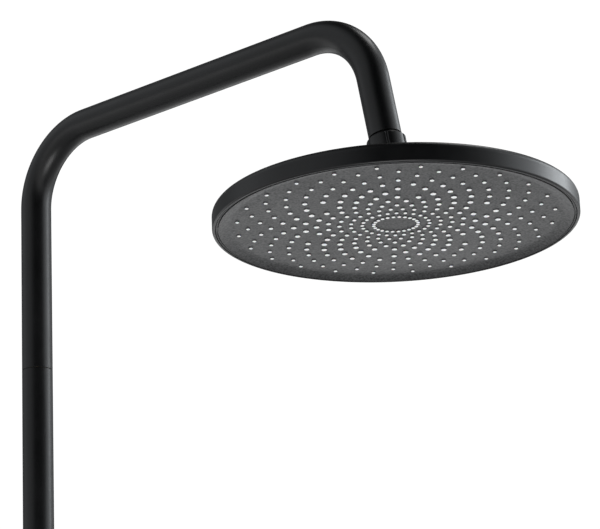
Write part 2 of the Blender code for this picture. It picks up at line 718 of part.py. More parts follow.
def build_neck(pivot, finish):
    """The socket under the ball, its seal, the ring that keeps the ball in and the nut inside the head."""
    face = -PIVOT_ABOVE_FACE
    flange_low = face + FLANGE_BOTTOM
    flange_high = flange_low + FLANGE_THICKNESS
    seal_inner = BALL_BORE + SEAL_SETBACK
    seal_outer = seal_inner + SEAL_WIDTH
    pocket_radius = seal_outer + GAP
    pocket_floor = flange_low - SOCKET_FLOOR
    pocket_angle = math.pi - math.asin(pocket_radius / CAVITY_RADIUS)
    equator = math.pi / 2
    shank_low = face + HAT_UNDERSIDE - LOCKNUT_THICKNESS - 2 * GAP
    socket = ball_outline(equator, pocket_angle, CAVITY_RADIUS, 5)[::-1]
    add_object(
        "neck_socket",
        revolve(
            socket
            + [
                (SOCKET_RADIUS, 0.0),
                (SOCKET_RADIUS, flange_high),
                (FLANGE_RADIUS, flange_high),
                (FLANGE_RADIUS, flange_low),
                (SHANK_RADIUS, flange_low),
                (SHANK_RADIUS, shank_low),
                (BALL_BORE, shank_low),
                (BALL_BORE, pocket_floor),
                (pocket_radius, pocket_floor),
            ],
            BALL_FACETS,
        ),
        pivot,
        finish["brass"],
    )
    outer_angle = math.pi - math.asin(seal_outer / LINER_INNER)
    inner_angle = math.pi - math.asin(seal_inner / LINER_INNER)
    seal = ball_outline(inner_angle, outer_angle, LINER_INNER, 3)
    seal += [(seal_outer, pocket_floor + GAP), (seal_inner, pocket_floor + GAP)]
    add_object("ball_seal", revolve(seal, BALL_FACETS), pivot, finish["black_rubber"])

    lip = ball_outline(LIP_LOW_ANGLE, LIP_TOP_ANGLE, LINER_INNER, 2)
    mouth_high = lip[-1][1]
    shelf_radius = math.sqrt(CAVITY_RADIUS**2 - (lip[0][1] + GAP / 2) ** 2)
    shelf_angle = math.asin(shelf_radius / CAVITY_RADIUS)
    bore = ball_outline(equator - math.asin(2 * GAP / CAVITY_RADIUS), shelf_angle, CAVITY_RADIUS, 3)
    ring = [(RETAINER_BORE, flange_high + GAP), (RETAINER_BORE, bore[0][1])]
    ring += bore + lip
    ring += [
        (RETAINER_RADIUS - RETAINER_WALL / 2, mouth_high),
        (RETAINER_RADIUS, mouth_high - RETAINER_WALL / 2),
        (RETAINER_RADIUS, flange_high + GAP),
    ]
    add_object("retaining_ring", revolve(ring[::-1], BALL_FACETS), pivot, finish["matte_black"])

    gasket = tube(
        RETAINER_RADIUS,
        SHANK_RADIUS + GAP,
        face + GASKET_BOTTOM,
        face + GASKET_BOTTOM + GASKET_THICKNESS,
        PIPE_FACETS,
    )
    add_object("neck_gasket", gasket, pivot, finish["black_rubber"])
    nut_high = face + HAT_UNDERSIDE - GAP
    nut = add_object(
        "neck_locknut",
        cylinder(SHANK_RADIUS + LOCKNUT_WALL, nut_high - LOCKNUT_THICKNESS, nut_high, 6),
        pivot,
        finish["brass"],
    )
    bore = cylinder(
        SHANK_RADIUS + GAP, nut_high - 2 * LOCKNUT_THICKNESS, nut_high + LOCKNUT_THICKNESS, PIPE_FACETS
    )
    boolean(nut, add_object("neck_locknut_bore", bore, pivot, hidden=True))


def shell_profile():
    """Back shell: crowned top, upright rim with rounded edges, open underneath."""
    lower = (HEAD_RADIUS - RIM_LOWER_FILLET, RIM_BOTTOM + RIM_LOWER_FILLET)
    upper = (HEAD_RADIUS - RIM_UPPER_FILLET, RIM_TOP - RIM_UPPER_FILLET)
    inner_fillet = RIM_UPPER_FILLET - SHELL_WALL
    start = -math.acos((SHELL_INNER_RADIUS - lower[0]) / RIM_LOWER_FILLET)
    outer = [(SHELL_BORE, CROWN_TOP), (CROWN_RADIUS, CROWN_TOP)]
    outer += arc(upper, RIM_UPPER_FILLET, math.pi / 2, 0.0, 5)
    outer += arc(lower, RIM_LOWER_FILLET, 0.0, start, 4)
    inner = arc(upper, inner_fillet, 0.0, math.pi / 2, 3)
    inner += [(CROWN_RADIUS, CROWN_TOP - SHELL_WALL), (SHELL_BORE, CROWN_TOP - SHELL_WALL)]
    return outer + inner


def face_profile():
    """Face plate: shallow dish, then a band that slopes down to the lip beside the rim."""
    field = [
        (FACE_FIELD_RADIUS * i / 6, FACE_DISH * (FACE_FIELD_RADIUS * i / 6) ** 2) for i in range(7)
    ]
    lip_inner = FACE_RADIUS - FACE_LIP_WIDTH
    lip_low = RIM_BOTTOM + GAP
    band_width = lip_inner - FACE_FIELD_RADIUS
    drop = field[-1][1] - lip_low
    band = [
        (
            FACE_FIELD_RADIUS + band_width * t,
            field[-1][1] - drop * (3 * t**2 - 2 * t**3),
        )
        for t in (0.2, 0.4, 0.6, 0.8, 1.0)
    ]
    lip = [(FACE_RADIUS - GAP, lip_low), (FACE_RADIUS, lip_low + GAP)]
    return [(0.0, FACE_BACK), (FACE_RADIUS, FACE_BACK)] + lip[::-1] + band[::-1] + field[::-1]


def build_head(face, finish):
    """Back shell, face plate, silicone mat, chamber plate and its seals and screws."""
    add_object("back_shell", revolve(shell_profile(), HEAD_FACETS), face, finish["matte_black"])

    boss_radius = SCREW_HOLE_RADIUS + SCREW_BOSS_WALL
    boss_high = CHAMBER_BOTTOM - GAP
    pilot_low = FACE_BACK + GAP
    plate = add_object(
        "face_plate", revolve(face_profile(), HEAD_FACETS), face, finish["face_grey"]
    )
    bosses = round_pattern(
        lambda: cylinder(boss_radius, FACE_BACK - GAP, boss_high, SCREW_FACETS),
        SCREW_COUNT,
        SCREW_CIRCLE,
        SCREW_PHASE,
    )
    boolean(plate, add_object("face_bosses", bosses, face, hidden=True), "UNION")
    pilots = round_pattern(
        lambda: cylinder(SCREW_HOLE_RADIUS, pilot_low, boss_high + GAP, SCREW_FACETS),
        SCREW_COUNT,
        SCREW_CIRCLE,
        SCREW_PHASE,
    )
    boolean(plate, add_object("face_pilot_holes", pilots, face, hidden=True))

    mat = add_object(
        "nozzle_mat",
        cylinder(FACE_FIELD_RADIUS, MAT_BOTTOM, MAT_TOP, CHAMBER_FACETS),
        face,
        finish["nozzle_silicone"],
    )
    mat_holes = round_pattern(
        lambda: cylinder(boss_radius + GAP, MAT_BOTTOM - GAP, MAT_TOP + GAP, SCREW_FACETS),
        SCREW_COUNT,
        SCREW_CIRCLE,
        SCREW_PHASE,
    )
    boolean(mat, add_object("mat_holes", mat_holes, face, hidden=True))

    chamber = add_object(
        "chamber_plate",
        revolve(
            [
                (SHELL_BORE, HAT_TOP),
                (HAT_RADIUS - CHAMBER_WALL, HAT_TOP),
                (HAT_RADIUS, HAT_TOP - CHAMBER_WALL),
                (HAT_RADIUS, CHAMBER_TOP),
                (CHAMBER_RADIUS, CHAMBER_TOP),
                (CHAMBER_RADIUS, CHAMBER_BOTTOM),
                (HAT_RADIUS - CHAMBER_WALL, CHAMBER_BOTTOM),
                (HAT_RADIUS - CHAMBER_WALL, HAT_UNDERSIDE),
                (SHELL_BORE, HAT_UNDERSIDE),
            ],
            CHAMBER_FACETS,
        ),
        face,
        finish["white_acetal"],
    )
    screw_holes = round_pattern(
        lambda: cylinder(
            SCREW_HOLE_RADIUS, CHAMBER_BOTTOM - CHAMBER_WALL, CHAMBER_TOP + CHAMBER_WALL, SCREW_FACETS
        ),
        SCREW_COUNT,
        SCREW_CIRCLE,
        SCREW_PHASE,
    )
    boolean(chamber, add_object("chamber_screw_holes", screw_holes, face, hidden=True))
    seal = tube(
        FACE_FIELD_RADIUS - CHAMBER_SEAL_WIDTH,
        FACE_FIELD_RADIUS - 2 * CHAMBER_SEAL_WIDTH,
        MAT_TOP + GAP,
        CHAMBER_BOTTOM - GAP,
        CHAMBER_FACETS,
    )
    add_object("chamber_seal", seal, face, finish["black_rubber"])

    head_low = CHAMBER_TOP + GAP
    screw_profile = [
        (0.0, head_low + SCREW_HEAD_HEIGHT / 2),
        (SCREW_DRIVE_RADIUS, head_low + SCREW_HEAD_HEIGHT / 2),
        (SCREW_DRIVE_RADIUS, head_low + SCREW_HEAD_HEIGHT),
        (SCREW_HEAD_RADIUS, head_low + SCREW_HEAD_HEIGHT),
        (SCREW_HEAD_RADIUS, head_low),
        (SCREW_SHANK_RADIUS, head_low),
        (SCREW_SHANK_RADIUS, pilot_low + GAP),
        (0.0, pilot_low + GAP),
    ]
    for i in range(SCREW_COUNT):
        turn = Matrix.Rotation(SCREW_PHASE + 2.0 * math.pi * i / SCREW_COUNT, 4, "Z")
        matrix = turn @ Matrix.Translation((SCREW_CIRCLE, 0.0, 0.0))
        screw = placed(revolve(screw_profile, SCREW_FACETS), matrix)
        add_object(f"chamber_screw_{i + 1}", screw, face, finish["steel"])


def main():
    """Builds the whole column."""
    clear_scene()
    finish = make_materials()
    wall = add_empty("wall_axis", (0.0, 0.0, 0.0), (0.0, math.pi / 2, 0.0))
    riser = add_empty("riser_axis", (RISER_FROM_WALL, 0.0, 0.0))
    outlet = add_empty("outlet_axis", PIVOT, (0.0, -OUTLET_SLANT, 0.0))
    pivot = add_empty("ball_pivot", PIVOT)
    face = add_empty("face_centre", PIVOT - Vector((0.0, 0.0, PIVOT_ABOVE_FACE)))

    build_wall_bracket(wall, finish)
    stop_height, slot_floor = build_riser(riser, finish)
    build_arm(riser, outlet, finish, stop_height, slot_floor)
    build_ball_connector(outlet, finish)
    build_neck(pivot, finish)
    build_head(face, finish)


main()
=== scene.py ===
"""Looks of a rainfall shower column: fine meshes, finishes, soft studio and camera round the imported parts."""

import json
import logging
import math
from collections.abc import Callable, Sequence
from dataclasses import dataclass, field
from enum import Enum

import bmesh
import bpy
from mathutils import Matrix, Vector
from mathutils.geometry import delaunay_2d_cdt
from mathutils.kdtree import KDTree

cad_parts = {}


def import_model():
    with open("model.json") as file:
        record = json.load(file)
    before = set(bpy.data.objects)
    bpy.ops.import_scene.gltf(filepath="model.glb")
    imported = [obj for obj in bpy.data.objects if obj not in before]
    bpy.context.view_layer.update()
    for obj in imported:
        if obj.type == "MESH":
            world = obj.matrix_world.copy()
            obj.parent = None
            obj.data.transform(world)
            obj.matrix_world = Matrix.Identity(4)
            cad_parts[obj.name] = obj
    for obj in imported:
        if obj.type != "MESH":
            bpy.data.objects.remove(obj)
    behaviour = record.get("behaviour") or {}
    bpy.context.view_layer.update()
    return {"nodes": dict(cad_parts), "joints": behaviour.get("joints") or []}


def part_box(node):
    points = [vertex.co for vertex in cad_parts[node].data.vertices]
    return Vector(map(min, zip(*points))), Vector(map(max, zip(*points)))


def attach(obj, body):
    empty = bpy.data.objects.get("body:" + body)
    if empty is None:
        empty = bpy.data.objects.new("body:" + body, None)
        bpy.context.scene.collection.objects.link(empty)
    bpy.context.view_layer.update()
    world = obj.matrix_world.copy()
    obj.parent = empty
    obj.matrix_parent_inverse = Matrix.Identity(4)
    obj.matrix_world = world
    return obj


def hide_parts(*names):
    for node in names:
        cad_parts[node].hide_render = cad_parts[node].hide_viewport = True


LOG = logging.getLogger("shower_column")
MM = 0.001
TURN = 2.0 * math.pi
CLEARANCE = 0.3 * MM
FINE_FACETS = 128
HEAD_FACETS = 288
ON_AXIS = 1e-7
WELD = 1e-6
CLOUD_SPAN = (0.3, 0.7)

Span = tuple[float, float]
Colour = tuple[float, float, float]
Outline = list[tuple[float, float]]
Opening = tuple[float, float, float]


class Slot(Enum):
    """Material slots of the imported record."""

    MATTE_BLACK = "matte_black"
    FACE_GREY = "face_grey"
    NOZZLE_SILICONE = "nozzle_silicone"
    BRASS = "brass"
    BLACK_RUBBER = "black_rubber"
    STEEL = "steel"
    WHITE_ACETAL = "white_acetal"


class Body(Enum):
    """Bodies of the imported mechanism."""

    COLUMN = "column"
    UNION = "union"
    ARM = "arm"
    HEAD = "head"


class Carving(Enum):
    """Ways in which one solid shapes another."""

    CUT = "DIFFERENCE"
    JOIN = "UNION"
    TRIM = "INTERSECT"


# ---------------------------------------------------------------- finishes


class Surface:
    """A Principled material built node by node in the piece's own metres."""

    def __init__(self, name: str) -> None:
        """Starts a material that holds only its shader.

        Args:
            name: The material's name.
        """
        self.material = bpy.data.materials.new(name)
        self.material.use_nodes = True
        self.tree = self.material.node_tree
        self.shader = self.tree.nodes["Principled BSDF"]
        self.place = self.tree.nodes.new("ShaderNodeTexCoord").outputs["Object"]

    def settle(self, **sockets: float) -> None:
        """Sets values that are the same all over, straight on the shader's sockets."""
        for name, value in sockets.items():
            self.shader.inputs[name.replace("_", " ")].default_value = value

    def link(self, source: bpy.types.NodeSocket, name: str) -> None:
        """Feeds one of the shader's sockets."""
        self.tree.links.new(source, self.shader.inputs[name])

    def noise(
        self,
        size: float,
        detail: float = 2.0,
        stretch: tuple[float, float, float] = (1.0, 1.0, 1.0),
        turn: float = 0.0,
    ) -> bpy.types.NodeSocket:
        """Adds a cloud of light and dark.

        Args:
            size: Width of one cloud, in metres.
            detail: Octaves of finer clouds.
            stretch: How much longer than wide the clouds are, along each axis.
            turn: Turn of those axes about Z, in radians.

        Returns:
            The cloud's value, which runs over CLOUD_SPAN.
        """
        mapping = self.tree.nodes.new("ShaderNodeMapping")
        mapping.vector_type = "TEXTURE"
        mapping.inputs["Rotation"].default_value = (0.0, 0.0, turn)
        mapping.inputs["Scale"].default_value = tuple(size * axis for axis in stretch)
        self.tree.links.new(self.place, mapping.inputs["Vector"])
        cloud = self.tree.nodes.new("ShaderNodeTexNoise")
        cloud.inputs["Scale"].default_value = 1.0
        cloud.inputs["Detail"].default_value = detail
        self.tree.links.new(mapping.outputs["Vector"], cloud.inputs["Vector"])
        return cloud.outputs["Fac"]

    def ranged(
        self,
        source: bpy.types.NodeSocket,
        low: float,
        high: float,
        span: Span = CLOUD_SPAN,
    ) -> bpy.types.NodeSocket:
        """Maps a value from a span to low and high.

        Args:
            source: The value.
            low: What it becomes at the start of the span.
            high: What it becomes at the end of the span.
            span: The two values that it runs between.

        Returns:
            The mapped value.
        """
        node = self.tree.nodes.new("ShaderNodeMapRange")
        node.inputs["From Min"].default_value = span[0]
        node.inputs["From Max"].default_value = span[1]
        node.inputs["To Min"].default_value = low
        node.inputs["To Max"].default_value = high
        self.tree.links.new(source, node.inputs["Value"])
        return node.outputs["Result"]

    def product(self, *factors: bpy.types.NodeSocket) -> bpy.types.NodeSocket:
        """Multiplies values.

        Args:
            factors: The values, two or more.

        Returns:
            Their product.
        """
        total = factors[0]
        for factor in factors[1:]:
            node = self.tree.nodes.new("ShaderNodeMath")
            node.operation = "MULTIPLY"
            self.tree.links.new(total, node.inputs[0])
            self.tree.links.new(factor, node.inputs[1])
            total = node.outputs["Value"]
        return total

    def distance(self, centre: Vector) -> bpy.types.NodeSocket:
        """Measures how far a point of the surface is from a place.

        Args:
            centre: The place, in the piece's own metres.

        Returns:
            The distance, in metres.
        """
        node = self.tree.nodes.new("ShaderNodeVectorMath")
        node.operation = "DISTANCE"
        node.inputs[1].default_value = centre
        self.tree.links.new(self.place, node.inputs[0])
        return node.outputs["Value"]

    def tint(self, dark: Colour, light: Colour, factor: bpy.types.NodeSocket) -> None:
        """Runs the base colour from dark to light.

        Args:
            dark: Colour where the factor is 0.
            light: Colour where the factor is 1.
            factor: The value that it follows.
        """
        mix = self.tree.nodes.new("ShaderNodeMix")
        mix.data_type = "RGBA"
        mix.inputs["A"].default_value = (*dark, 1.0)
        mix.inputs["B"].default_value = (*light, 1.0)
        self.tree.links.new(factor, mix.inputs["Factor"])
        self.link(mix.outputs["Result"], "Base Color")

    def relief(self, height: bpy.types.NodeSocket, depth: float) -> None:
        """Raises and sinks the surface by a value.

        Args:
            height: The value that it follows.
            depth: How far the surface rises where the value is 1, in metres.
        """
        bump = self.tree.nodes.new("ShaderNodeBump")
        bump.inputs["Distance"].default_value = depth
        bump.inputs["Strength"].default_value = 1.0
        self.tree.links.new(height, bump.inputs["Height"])
        self.link(bump.outputs["Normal"], "Normal")


@dataclass(frozen=True)
class Finish:
    """A finish that belongs to one slot: clouds in its colour, patches in its gloss, and a fine skin."""

    slot: Slot
    dark: Colour
    light: Colour
    roughness: Span
    kind: str = "finish"
    cloud: float = 12.0 * MM
    cloud_detail: float = 4.0
    patch: float = 3.0 * MM
    patch_detail: float = 3.0
    skin: float = 0.5 * MM
    skin_depth: float = 0.01 * MM

    def dress(self, surface: Surface) -> None:
        """Gives the surface its colour, its uneven gloss and its skin.

        Args:
            surface: The surface to dress.
        """
        clouds = surface.noise(self.cloud, self.cloud_detail)
        surface.tint(self.dark, self.light, surface.ranged(clouds, 0.0, 1.0))
        patches = surface.noise(self.patch, self.patch_detail)
        surface.link(surface.ranged(patches, *self.roughness), "Roughness")
        surface.relief(surface.noise(self.skin), self.skin_depth)

    def material(self) -> bpy.types.Material:
        """Gives the finish's one material, made when first asked for.

        Returns:
            The material.
        """
        name = f"{self.slot.value}_{self.kind}"
        found = bpy.data.materials.get(name)
        if found is None:
            surface = Surface(name)
            self.dress(surface)
            found = surface.material
        return found


@dataclass(frozen=True)
class PowderCoat(Finish):
    """Satin matte black coat with soft handling marks and a very fine orange peel."""

    cloud: float = 35.0 * MM
    cloud_detail: float = 5.0
    patch: float = 14.0 * MM
    patch_detail: float = 4.0
    skin: float = 0.9 * MM
    skin_depth: float = 0.008 * MM
    shine: float = 0.32

    def dress(self, surface: Surface) -> None:
        """Dulls the plain black to a satin."""
        super().dress(surface)
        surface.settle(Specular_IOR_Level=self.shine)


@dataclass(frozen=True)
class GrainedFace(Finish):
    """Moulded graphite face with fine grain, faint streaks and a stippled middle."""

    centre: Vector = field(default_factory=Vector)
    middle_radius: float = 13.0 * MM
    middle_edge: Span = (0.9, 1.1)
    middle_shade: float = 0.80
    grain: float = 1.5 * MM
    streak: float = 2.2 * MM
    streak_turn: float = math.radians(40.5)
    streak_stretch: tuple[float, float, float] = (16.0, 1.0, 1.0)
    streak_shade: Span = (0.7, 1.0)
    line_stretch: tuple[float, float, float] = (24.0, 1.0, 1.0)
    line_shade: Span = (0.88, 1.12)
    bloom: float = 45.0 * MM
    bloom_shade: Span = (0.82, 1.12)
    gloss: Span = (0.26, 0.86)
    patch: float = 1.6 * MM
    skin: float = 0.7 * MM
    skin_depth: float = 0.02 * MM

    def dress(self, surface: Surface) -> None:
        """Lets grain and streaks shade the colour and the gloss, and darkens the middle.

        Args:
            surface: The surface to dress.
        """
        grain = surface.ranged(surface.noise(self.grain, 3.0), 0.0, 1.0)
        streaks = surface.noise(self.streak, 2.0, self.streak_stretch, self.streak_turn)
        streaks = surface.ranged(streaks, *self.streak_shade)
        edge = (self.middle_edge[0] * self.middle_radius, self.middle_edge[1] * self.middle_radius)
        middle = surface.ranged(surface.distance(self.centre), self.middle_shade, 1.0, edge)
        surface.tint(self.dark, self.light, surface.product(grain, streaks, middle))
        gloss = surface.ranged(surface.noise(self.grain), *self.gloss)
        bloom = surface.ranged(surface.noise(self.bloom), *self.bloom_shade)
        lines = surface.noise(self.streak, 3.0, self.line_stretch, self.streak_turn)
        lines = surface.ranged(lines, *self.line_shade)
        surface.link(surface.product(gloss, bloom, lines, middle), "Specular IOR Level")
        surface.link(surface.ranged(surface.noise(self.patch), *self.roughness), "Roughness")
        surface.relief(surface.noise(self.skin), self.skin_depth)


@dataclass(frozen=True)
class PalePlastic(Finish):
    """Pale soft plastic that lets a little light in, with a faint sheen."""

    glow: float = 0.05
    glow_depth: float = 1.2 * MM
    sheen: float = 0.08

    def dress(self, surface: Surface) -> None:
        """Adds the sheen and the glow under the skin."""
        super().dress(surface)
        surface.settle(
            Subsurface_Weight=self.glow, Subsurface_Scale=self.glow_depth, Sheen_Weight=self.sheen
        )


@dataclass(frozen=True)
class TurnedMetal(Finish):
    """Bare metal with the fine lines that a lathe leaves."""

    cloud: float = 6.0 * MM
    cloud_detail: float = 3.0
    line: float = 0.25 * MM
    line_stretch: tuple[float, float, float] = (40.0, 40.0, 1.0)

    def dress(self, surface: Surface) -> None:
        """Runs tool lines round the piece, which break up its gloss.

        Args:
            surface: The surface to dress.
        """
        lines = surface.noise(self.line, 3.0, self.line_stretch)
        clouds = surface.noise(self.cloud, self.cloud_detail)
        surface.tint(self.dark, self.light, surface.ranged(clouds, 0.0, 1.0))
        surface.link(surface.ranged(lines, *self.roughness), "Roughness")
        surface.relief(lines, self.skin_depth)
        surface.settle(Metallic=1.0)


@dataclass(frozen=True)
class MouldedRubber(Finish):
    """Moulded black rubber with a dusty sheen."""

    skin: float = 0.4 * MM
    skin_depth: float = 0.015 * MM
    dust: float = 0.15
    dust_roughness: float = 0.6

    def dress(self, surface: Surface) -> None:
        """Adds the dust."""
        super().dress(surface)
        surface.settle(Sheen_Weight=self.dust, Sheen_Roughness=self.dust_roughness)


@dataclass(frozen=True)
class Finishes:
    """Every finish of the column."""

    coat: Finish
    face: Finish
    silicone: Finish
    brass: Finish
    blacked: Finish
    rubber: Finish
    steel: Finish
    acetal: Finish

    @classmethod
    def around(cls, face_centre: Vector) -> "Finishes":
        """Makes the finishes.

        Args:
            face_centre: Middle of the spray face, which its stippled disc is laid round.

        Returns:
            All eight finishes.
        """
        return cls(
            coat=PowderCoat(
                Slot.MATTE_BLACK, (0.0015, 0.0016, 0.0018), (0.0032, 0.0033, 0.0037), (0.29, 0.36)
            ),
            face=GrainedFace(
                Slot.FACE_GREY,
                (0.012, 0.012, 0.0125),
                (0.024, 0.024, 0.0248),
                (0.38, 0.48),
                centre=face_centre,
            ),
            silicone=PalePlastic(
                Slot.NOZZLE_SILICONE, (0.90, 0.91, 0.91), (0.97, 0.97, 0.96), (0.45, 0.58)
            ),
            brass=TurnedMetal(Slot.BRASS, (0.62, 0.42, 0.17), (0.78, 0.57, 0.28), (0.22, 0.38)),
            blacked=TurnedMetal(
                Slot.BRASS, (0.006, 0.005, 0.004), (0.016, 0.014, 0.012), (0.40, 0.55), kind="blacked"
            ),
            rubber=MouldedRubber(
                Slot.BLACK_RUBBER, (0.008, 0.008, 0.008), (0.022, 0.022, 0.023), (0.6, 0.8)
            ),
            steel=TurnedMetal(Slot.STEEL, (0.46, 0.46, 0.47), (0.62, 0.62, 0.63), (0.24, 0.40)),
            acetal=PalePlastic(Slot.WHITE_ACETAL, (0.72, 0.72, 0.69), (0.82, 0.82, 0.79), (0.36, 0.50)),
        )


# ---------------------------------------------------------------- mesh work


def rounded(corners: Sequence[tuple[float, float, float]], steps: int = 6) -> Outline:
    """Rounds the corners of a closed outline.

    Args:
        corners: Radius, height and fillet of each corner, in order; a fillet of 0 stays sharp.
        steps: Segments in each fillet.

    Returns:
        The outline's points as (radius, height).
    """
    outline: Outline = []
    for i, (r, z, fillet) in enumerate(corners):
        if fillet <= 0.0:
            outline.append((r, z))
            continue
        here = Vector((r, z))
        before = (Vector(corners[i - 1][:2]) - here).normalized()
        after = (Vector(corners[(i + 1) % len(corners)][:2]) - here).normalized()
        half = before.angle(after) / 2.0
        centre = here + (before + after).normalized() * fillet / math.sin(half)
        first = here + before * fillet / math.tan(half) - centre
        last = here + after * fillet / math.tan(half) - centre
        start = math.atan2(first.y, first.x)
        sweep = (math.atan2(last.y, last.x) - start + math.pi) % TURN - math.pi
        for k in range(steps + 1):
            angle = start + sweep * k / steps
            outline.append((centre.x + fillet * math.cos(angle), centre.y + fillet * math.sin(angle)))
    return outline


def sphere_arc(radius: float, start: float, end: float, steps: int = 20) -> Outline:
    """Points on a ball at the origin, from one angle off +Z to another."""
    angles = [start + (end - start) * k / steps for k in range(steps + 1)]
    return [(radius * math.sin(angle), radius * math.cos(angle)) for angle in angles]


def circle(
    shape: bmesh.types.BMesh, matrix: Matrix, radius: float, height: float, segments: int
) -> list[bmesh.types.BMVert]:
    """Adds a ring of corners about a Z axis, or one corner if the ring has no radius.

    Args:
        shape: The mesh that they join.
        matrix: Where the axis is.
        radius: Radius of the ring.
        height: Its height along the axis.
        segments: Number of corners.

    Returns:
        The corners, in order.
    """
    if radius < ON_AXIS:
        return [shape.verts.new(matrix @ Vector((0.0, 0.0, height)))]
    return [
        shape.verts.new(
            matrix
            @ Vector((
                radius * math.cos(TURN * k / segments),
                radius * math.sin(TURN * k / segments),
                height,
            ))
        )
        for k in range(segments)
    ]


def bridge(
    shape: bmesh.types.BMesh, first: list[bmesh.types.BMVert], second: list[bmesh.types.BMVert]
) -> None:
    """Joins two rings with faces; either ring may be a single corner.

    Args:
        shape: The mesh that holds them.
        first: Corners of one ring, in order.
        second: Corners of the other.
    """
    count = max(len(first), len(second))
    if count == 1:
        return
    for k in range(count):
        after = (k + 1) % count
        corners = [
            first[k % len(first)],
            first[after % len(first)],
            second[after % len(second)],
            second[k % len(second)],
        ]
        shape.faces.new(list(dict.fromkeys(corners)))


def bridge_run(
    shape: bmesh.types.BMesh, loops: list[list[bmesh.types.BMVert]], closed: bool = False
) -> None:
    """Joins rings in order, and the last one to the first if the run is closed."""
    for loop, following in zip(loops, loops[1:] + (loops[:1] if closed else [])):
        bridge(shape, loop, following)


def turned(outline: Outline, segments: int = 96, matrix: Matrix | None = None) -> bmesh.types.BMesh:
    """Turns a closed outline about Z.

    Args:
        outline: Points as (radius, height), in order.
        segments: Facets round the piece.
        matrix: Where the turned piece's Z axis goes.

    Returns:
        The solid.
    """
    shape = bmesh.new()
    place = matrix or Matrix.Identity(4)
    bridge_run(shape, [circle(shape, place, r, z, segments) for r, z in outline], closed=True)
    return shape


def bar(
    radius: float, low: float, high: float, segments: int = 48, matrix: Matrix | None = None
) -> bmesh.types.BMesh:
    """A plain round bar, used to cut with."""
    return turned([(0.0, low), (radius, low), (radius, high), (0.0, high)], segments, matrix)


def plain_ring(
    outer: float, bore: float, high: float, low: float, ease: float, steps: int = 4
) -> Outline:
    """Outline of a flat ring with its four corners eased."""
    corners = [(outer, high, ease), (bore, high, ease), (bore, low, ease), (outer, low, ease)]
    return rounded(corners, steps)


def swept(
    stations: Sequence[Matrix], outer: float, bore: float, ease: float, segments: int = 72
) -> bmesh.types.BMesh:
    """Draws a tube through stations.

    Args:
        stations: Places along the tube, each with its Z axis along the tube.
        outer: Outside radius.
        bore: Radius of the bore.
        ease: Size of the softened edge round both ends.
        segments: Facets round the tube.

    Returns:
        The hollow tube.
    """
    first, last, between = stations[0], stations[-1], stations[1:-1]
    soft = 0.3 * ease
    rings = [
        (first, bore, 0.0),
        (first, outer - ease, 0.0),
        (first, outer - soft, soft),
        (first, outer, ease),
        *((station, outer, 0.0) for station in between),
        (last, outer, -ease),
        (last, outer - soft, -soft),
        (last, outer - ease, 0.0),
        (last, bore, 0.0),
        *((station, bore, 0.0) for station in reversed(between)),
    ]
    shape = bmesh.new()
    loops = [circle(shape, station, radius, height, segments) for station, radius, height in rings]
    bridge_run(shape, loops, closed=True)
    return shape


def loose(name: str, shape: bmesh.types.BMesh) -> bpy.types.Object:
    """Links a mesh as an object with its faces turned out.

    Args:
        name: The object's name.
        shape: Its mesh, which is used up.

    Returns:
        The object.
    """
    bmesh.ops.recalc_face_normals(shape, faces=shape.faces)
    mesh = bpy.data.meshes.new(name)
    shape.to_mesh(mesh)
    shape.free()
    obj = bpy.data.objects.new(name, mesh)
    bpy.context.scene.collection.objects.link(obj)
    return obj


def carved(
    shape: bmesh.types.BMesh, tool: bmesh.types.BMesh, carving: Carving = Carving.CUT
) -> bmesh.types.BMesh:
    """Shapes one solid with another.

    Args:
        shape: The solid that is kept.
        tool: The solid that cuts, joins or trims it.
        carving: Which of the three it does.

    Returns:
        The new solid; both of the old ones are used up.
    """
    target, cutter = loose("blank", shape), loose("tool", tool)
    step = target.modifiers.new("carving", "BOOLEAN")
    step.operation = carving.value
    step.solver = "EXACT"
    step.object = cutter
    result = bmesh.new()
    result.from_object(target, bpy.context.evaluated_depsgraph_get())
    bmesh.ops.remove_doubles(result, verts=result.verts, dist=WELD)
    bmesh.ops.dissolve_degenerate(result, edges=result.edges, dist=WELD)
    for obj in (target, cutter):
        mesh = obj.data
        bpy.data.objects.remove(obj)
        bpy.data.meshes.remove(mesh)
    return result


def ring_pattern(
    make: Callable[[], bmesh.types.BMesh], count: int, phase: float, matrix: Matrix
) -> bmesh.types.BMesh:
    """Repeats a solid round a Z axis.

    Args:
        make: Makes one solid.
        count: Number of solids.
        phase: Turn of the first one, in radians.
        matrix: Where the axis is.

    Returns:
        All the solids in one mesh.
    """
    gathered = bmesh.new()
    for i in range(count):
        copy = make()
        turn = matrix @ Matrix.Rotation(phase + TURN * i / count, 4, "Z")
        bmesh.ops.transform(copy, matrix=turn, verts=copy.verts)
        holder = bpy.data.meshes.new("copy")
        copy.to_mesh(holder)
        copy.free()
        gathered.from_mesh(holder)
        bpy.data.meshes.remove(holder)
    return gathered


def add_piece(
    name: str,
    shape: bmesh.types.BMesh,
    finish: Finish,
    body: Body,
    *nodes: str,
    sharp: float = 32.0,
) -> bpy.types.Object:
    """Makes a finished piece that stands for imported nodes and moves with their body.

    Args:
        name: The piece's name.
        shape: Its mesh, in the row frame.
        finish: What it is finished with.
        body: The body it rides on.
        nodes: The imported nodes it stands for.
        sharp: Angle in degrees above which an edge stays sharp.

    Returns:
        The new object.
    """
    obj = loose(name, shape)
    obj.data.materials.append(finish.material())
    obj.data.shade_smooth()
    obj.data.set_sharp_from_angle(angle=math.radians(sharp))
    even = obj.modifiers.new("even_shading", "WEIGHTED_NORMAL")
    even.keep_sharp = True
    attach(obj, body.value)
    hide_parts(*nodes)
    LOG.info("%s: %d faces, for %s", name, len(obj.data.polygons), ", ".join(nodes))
    return obj


def middle_of(node: str) -> Vector:
    """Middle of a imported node's box."""
    low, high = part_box(node)
    return (low + high) / 2.0


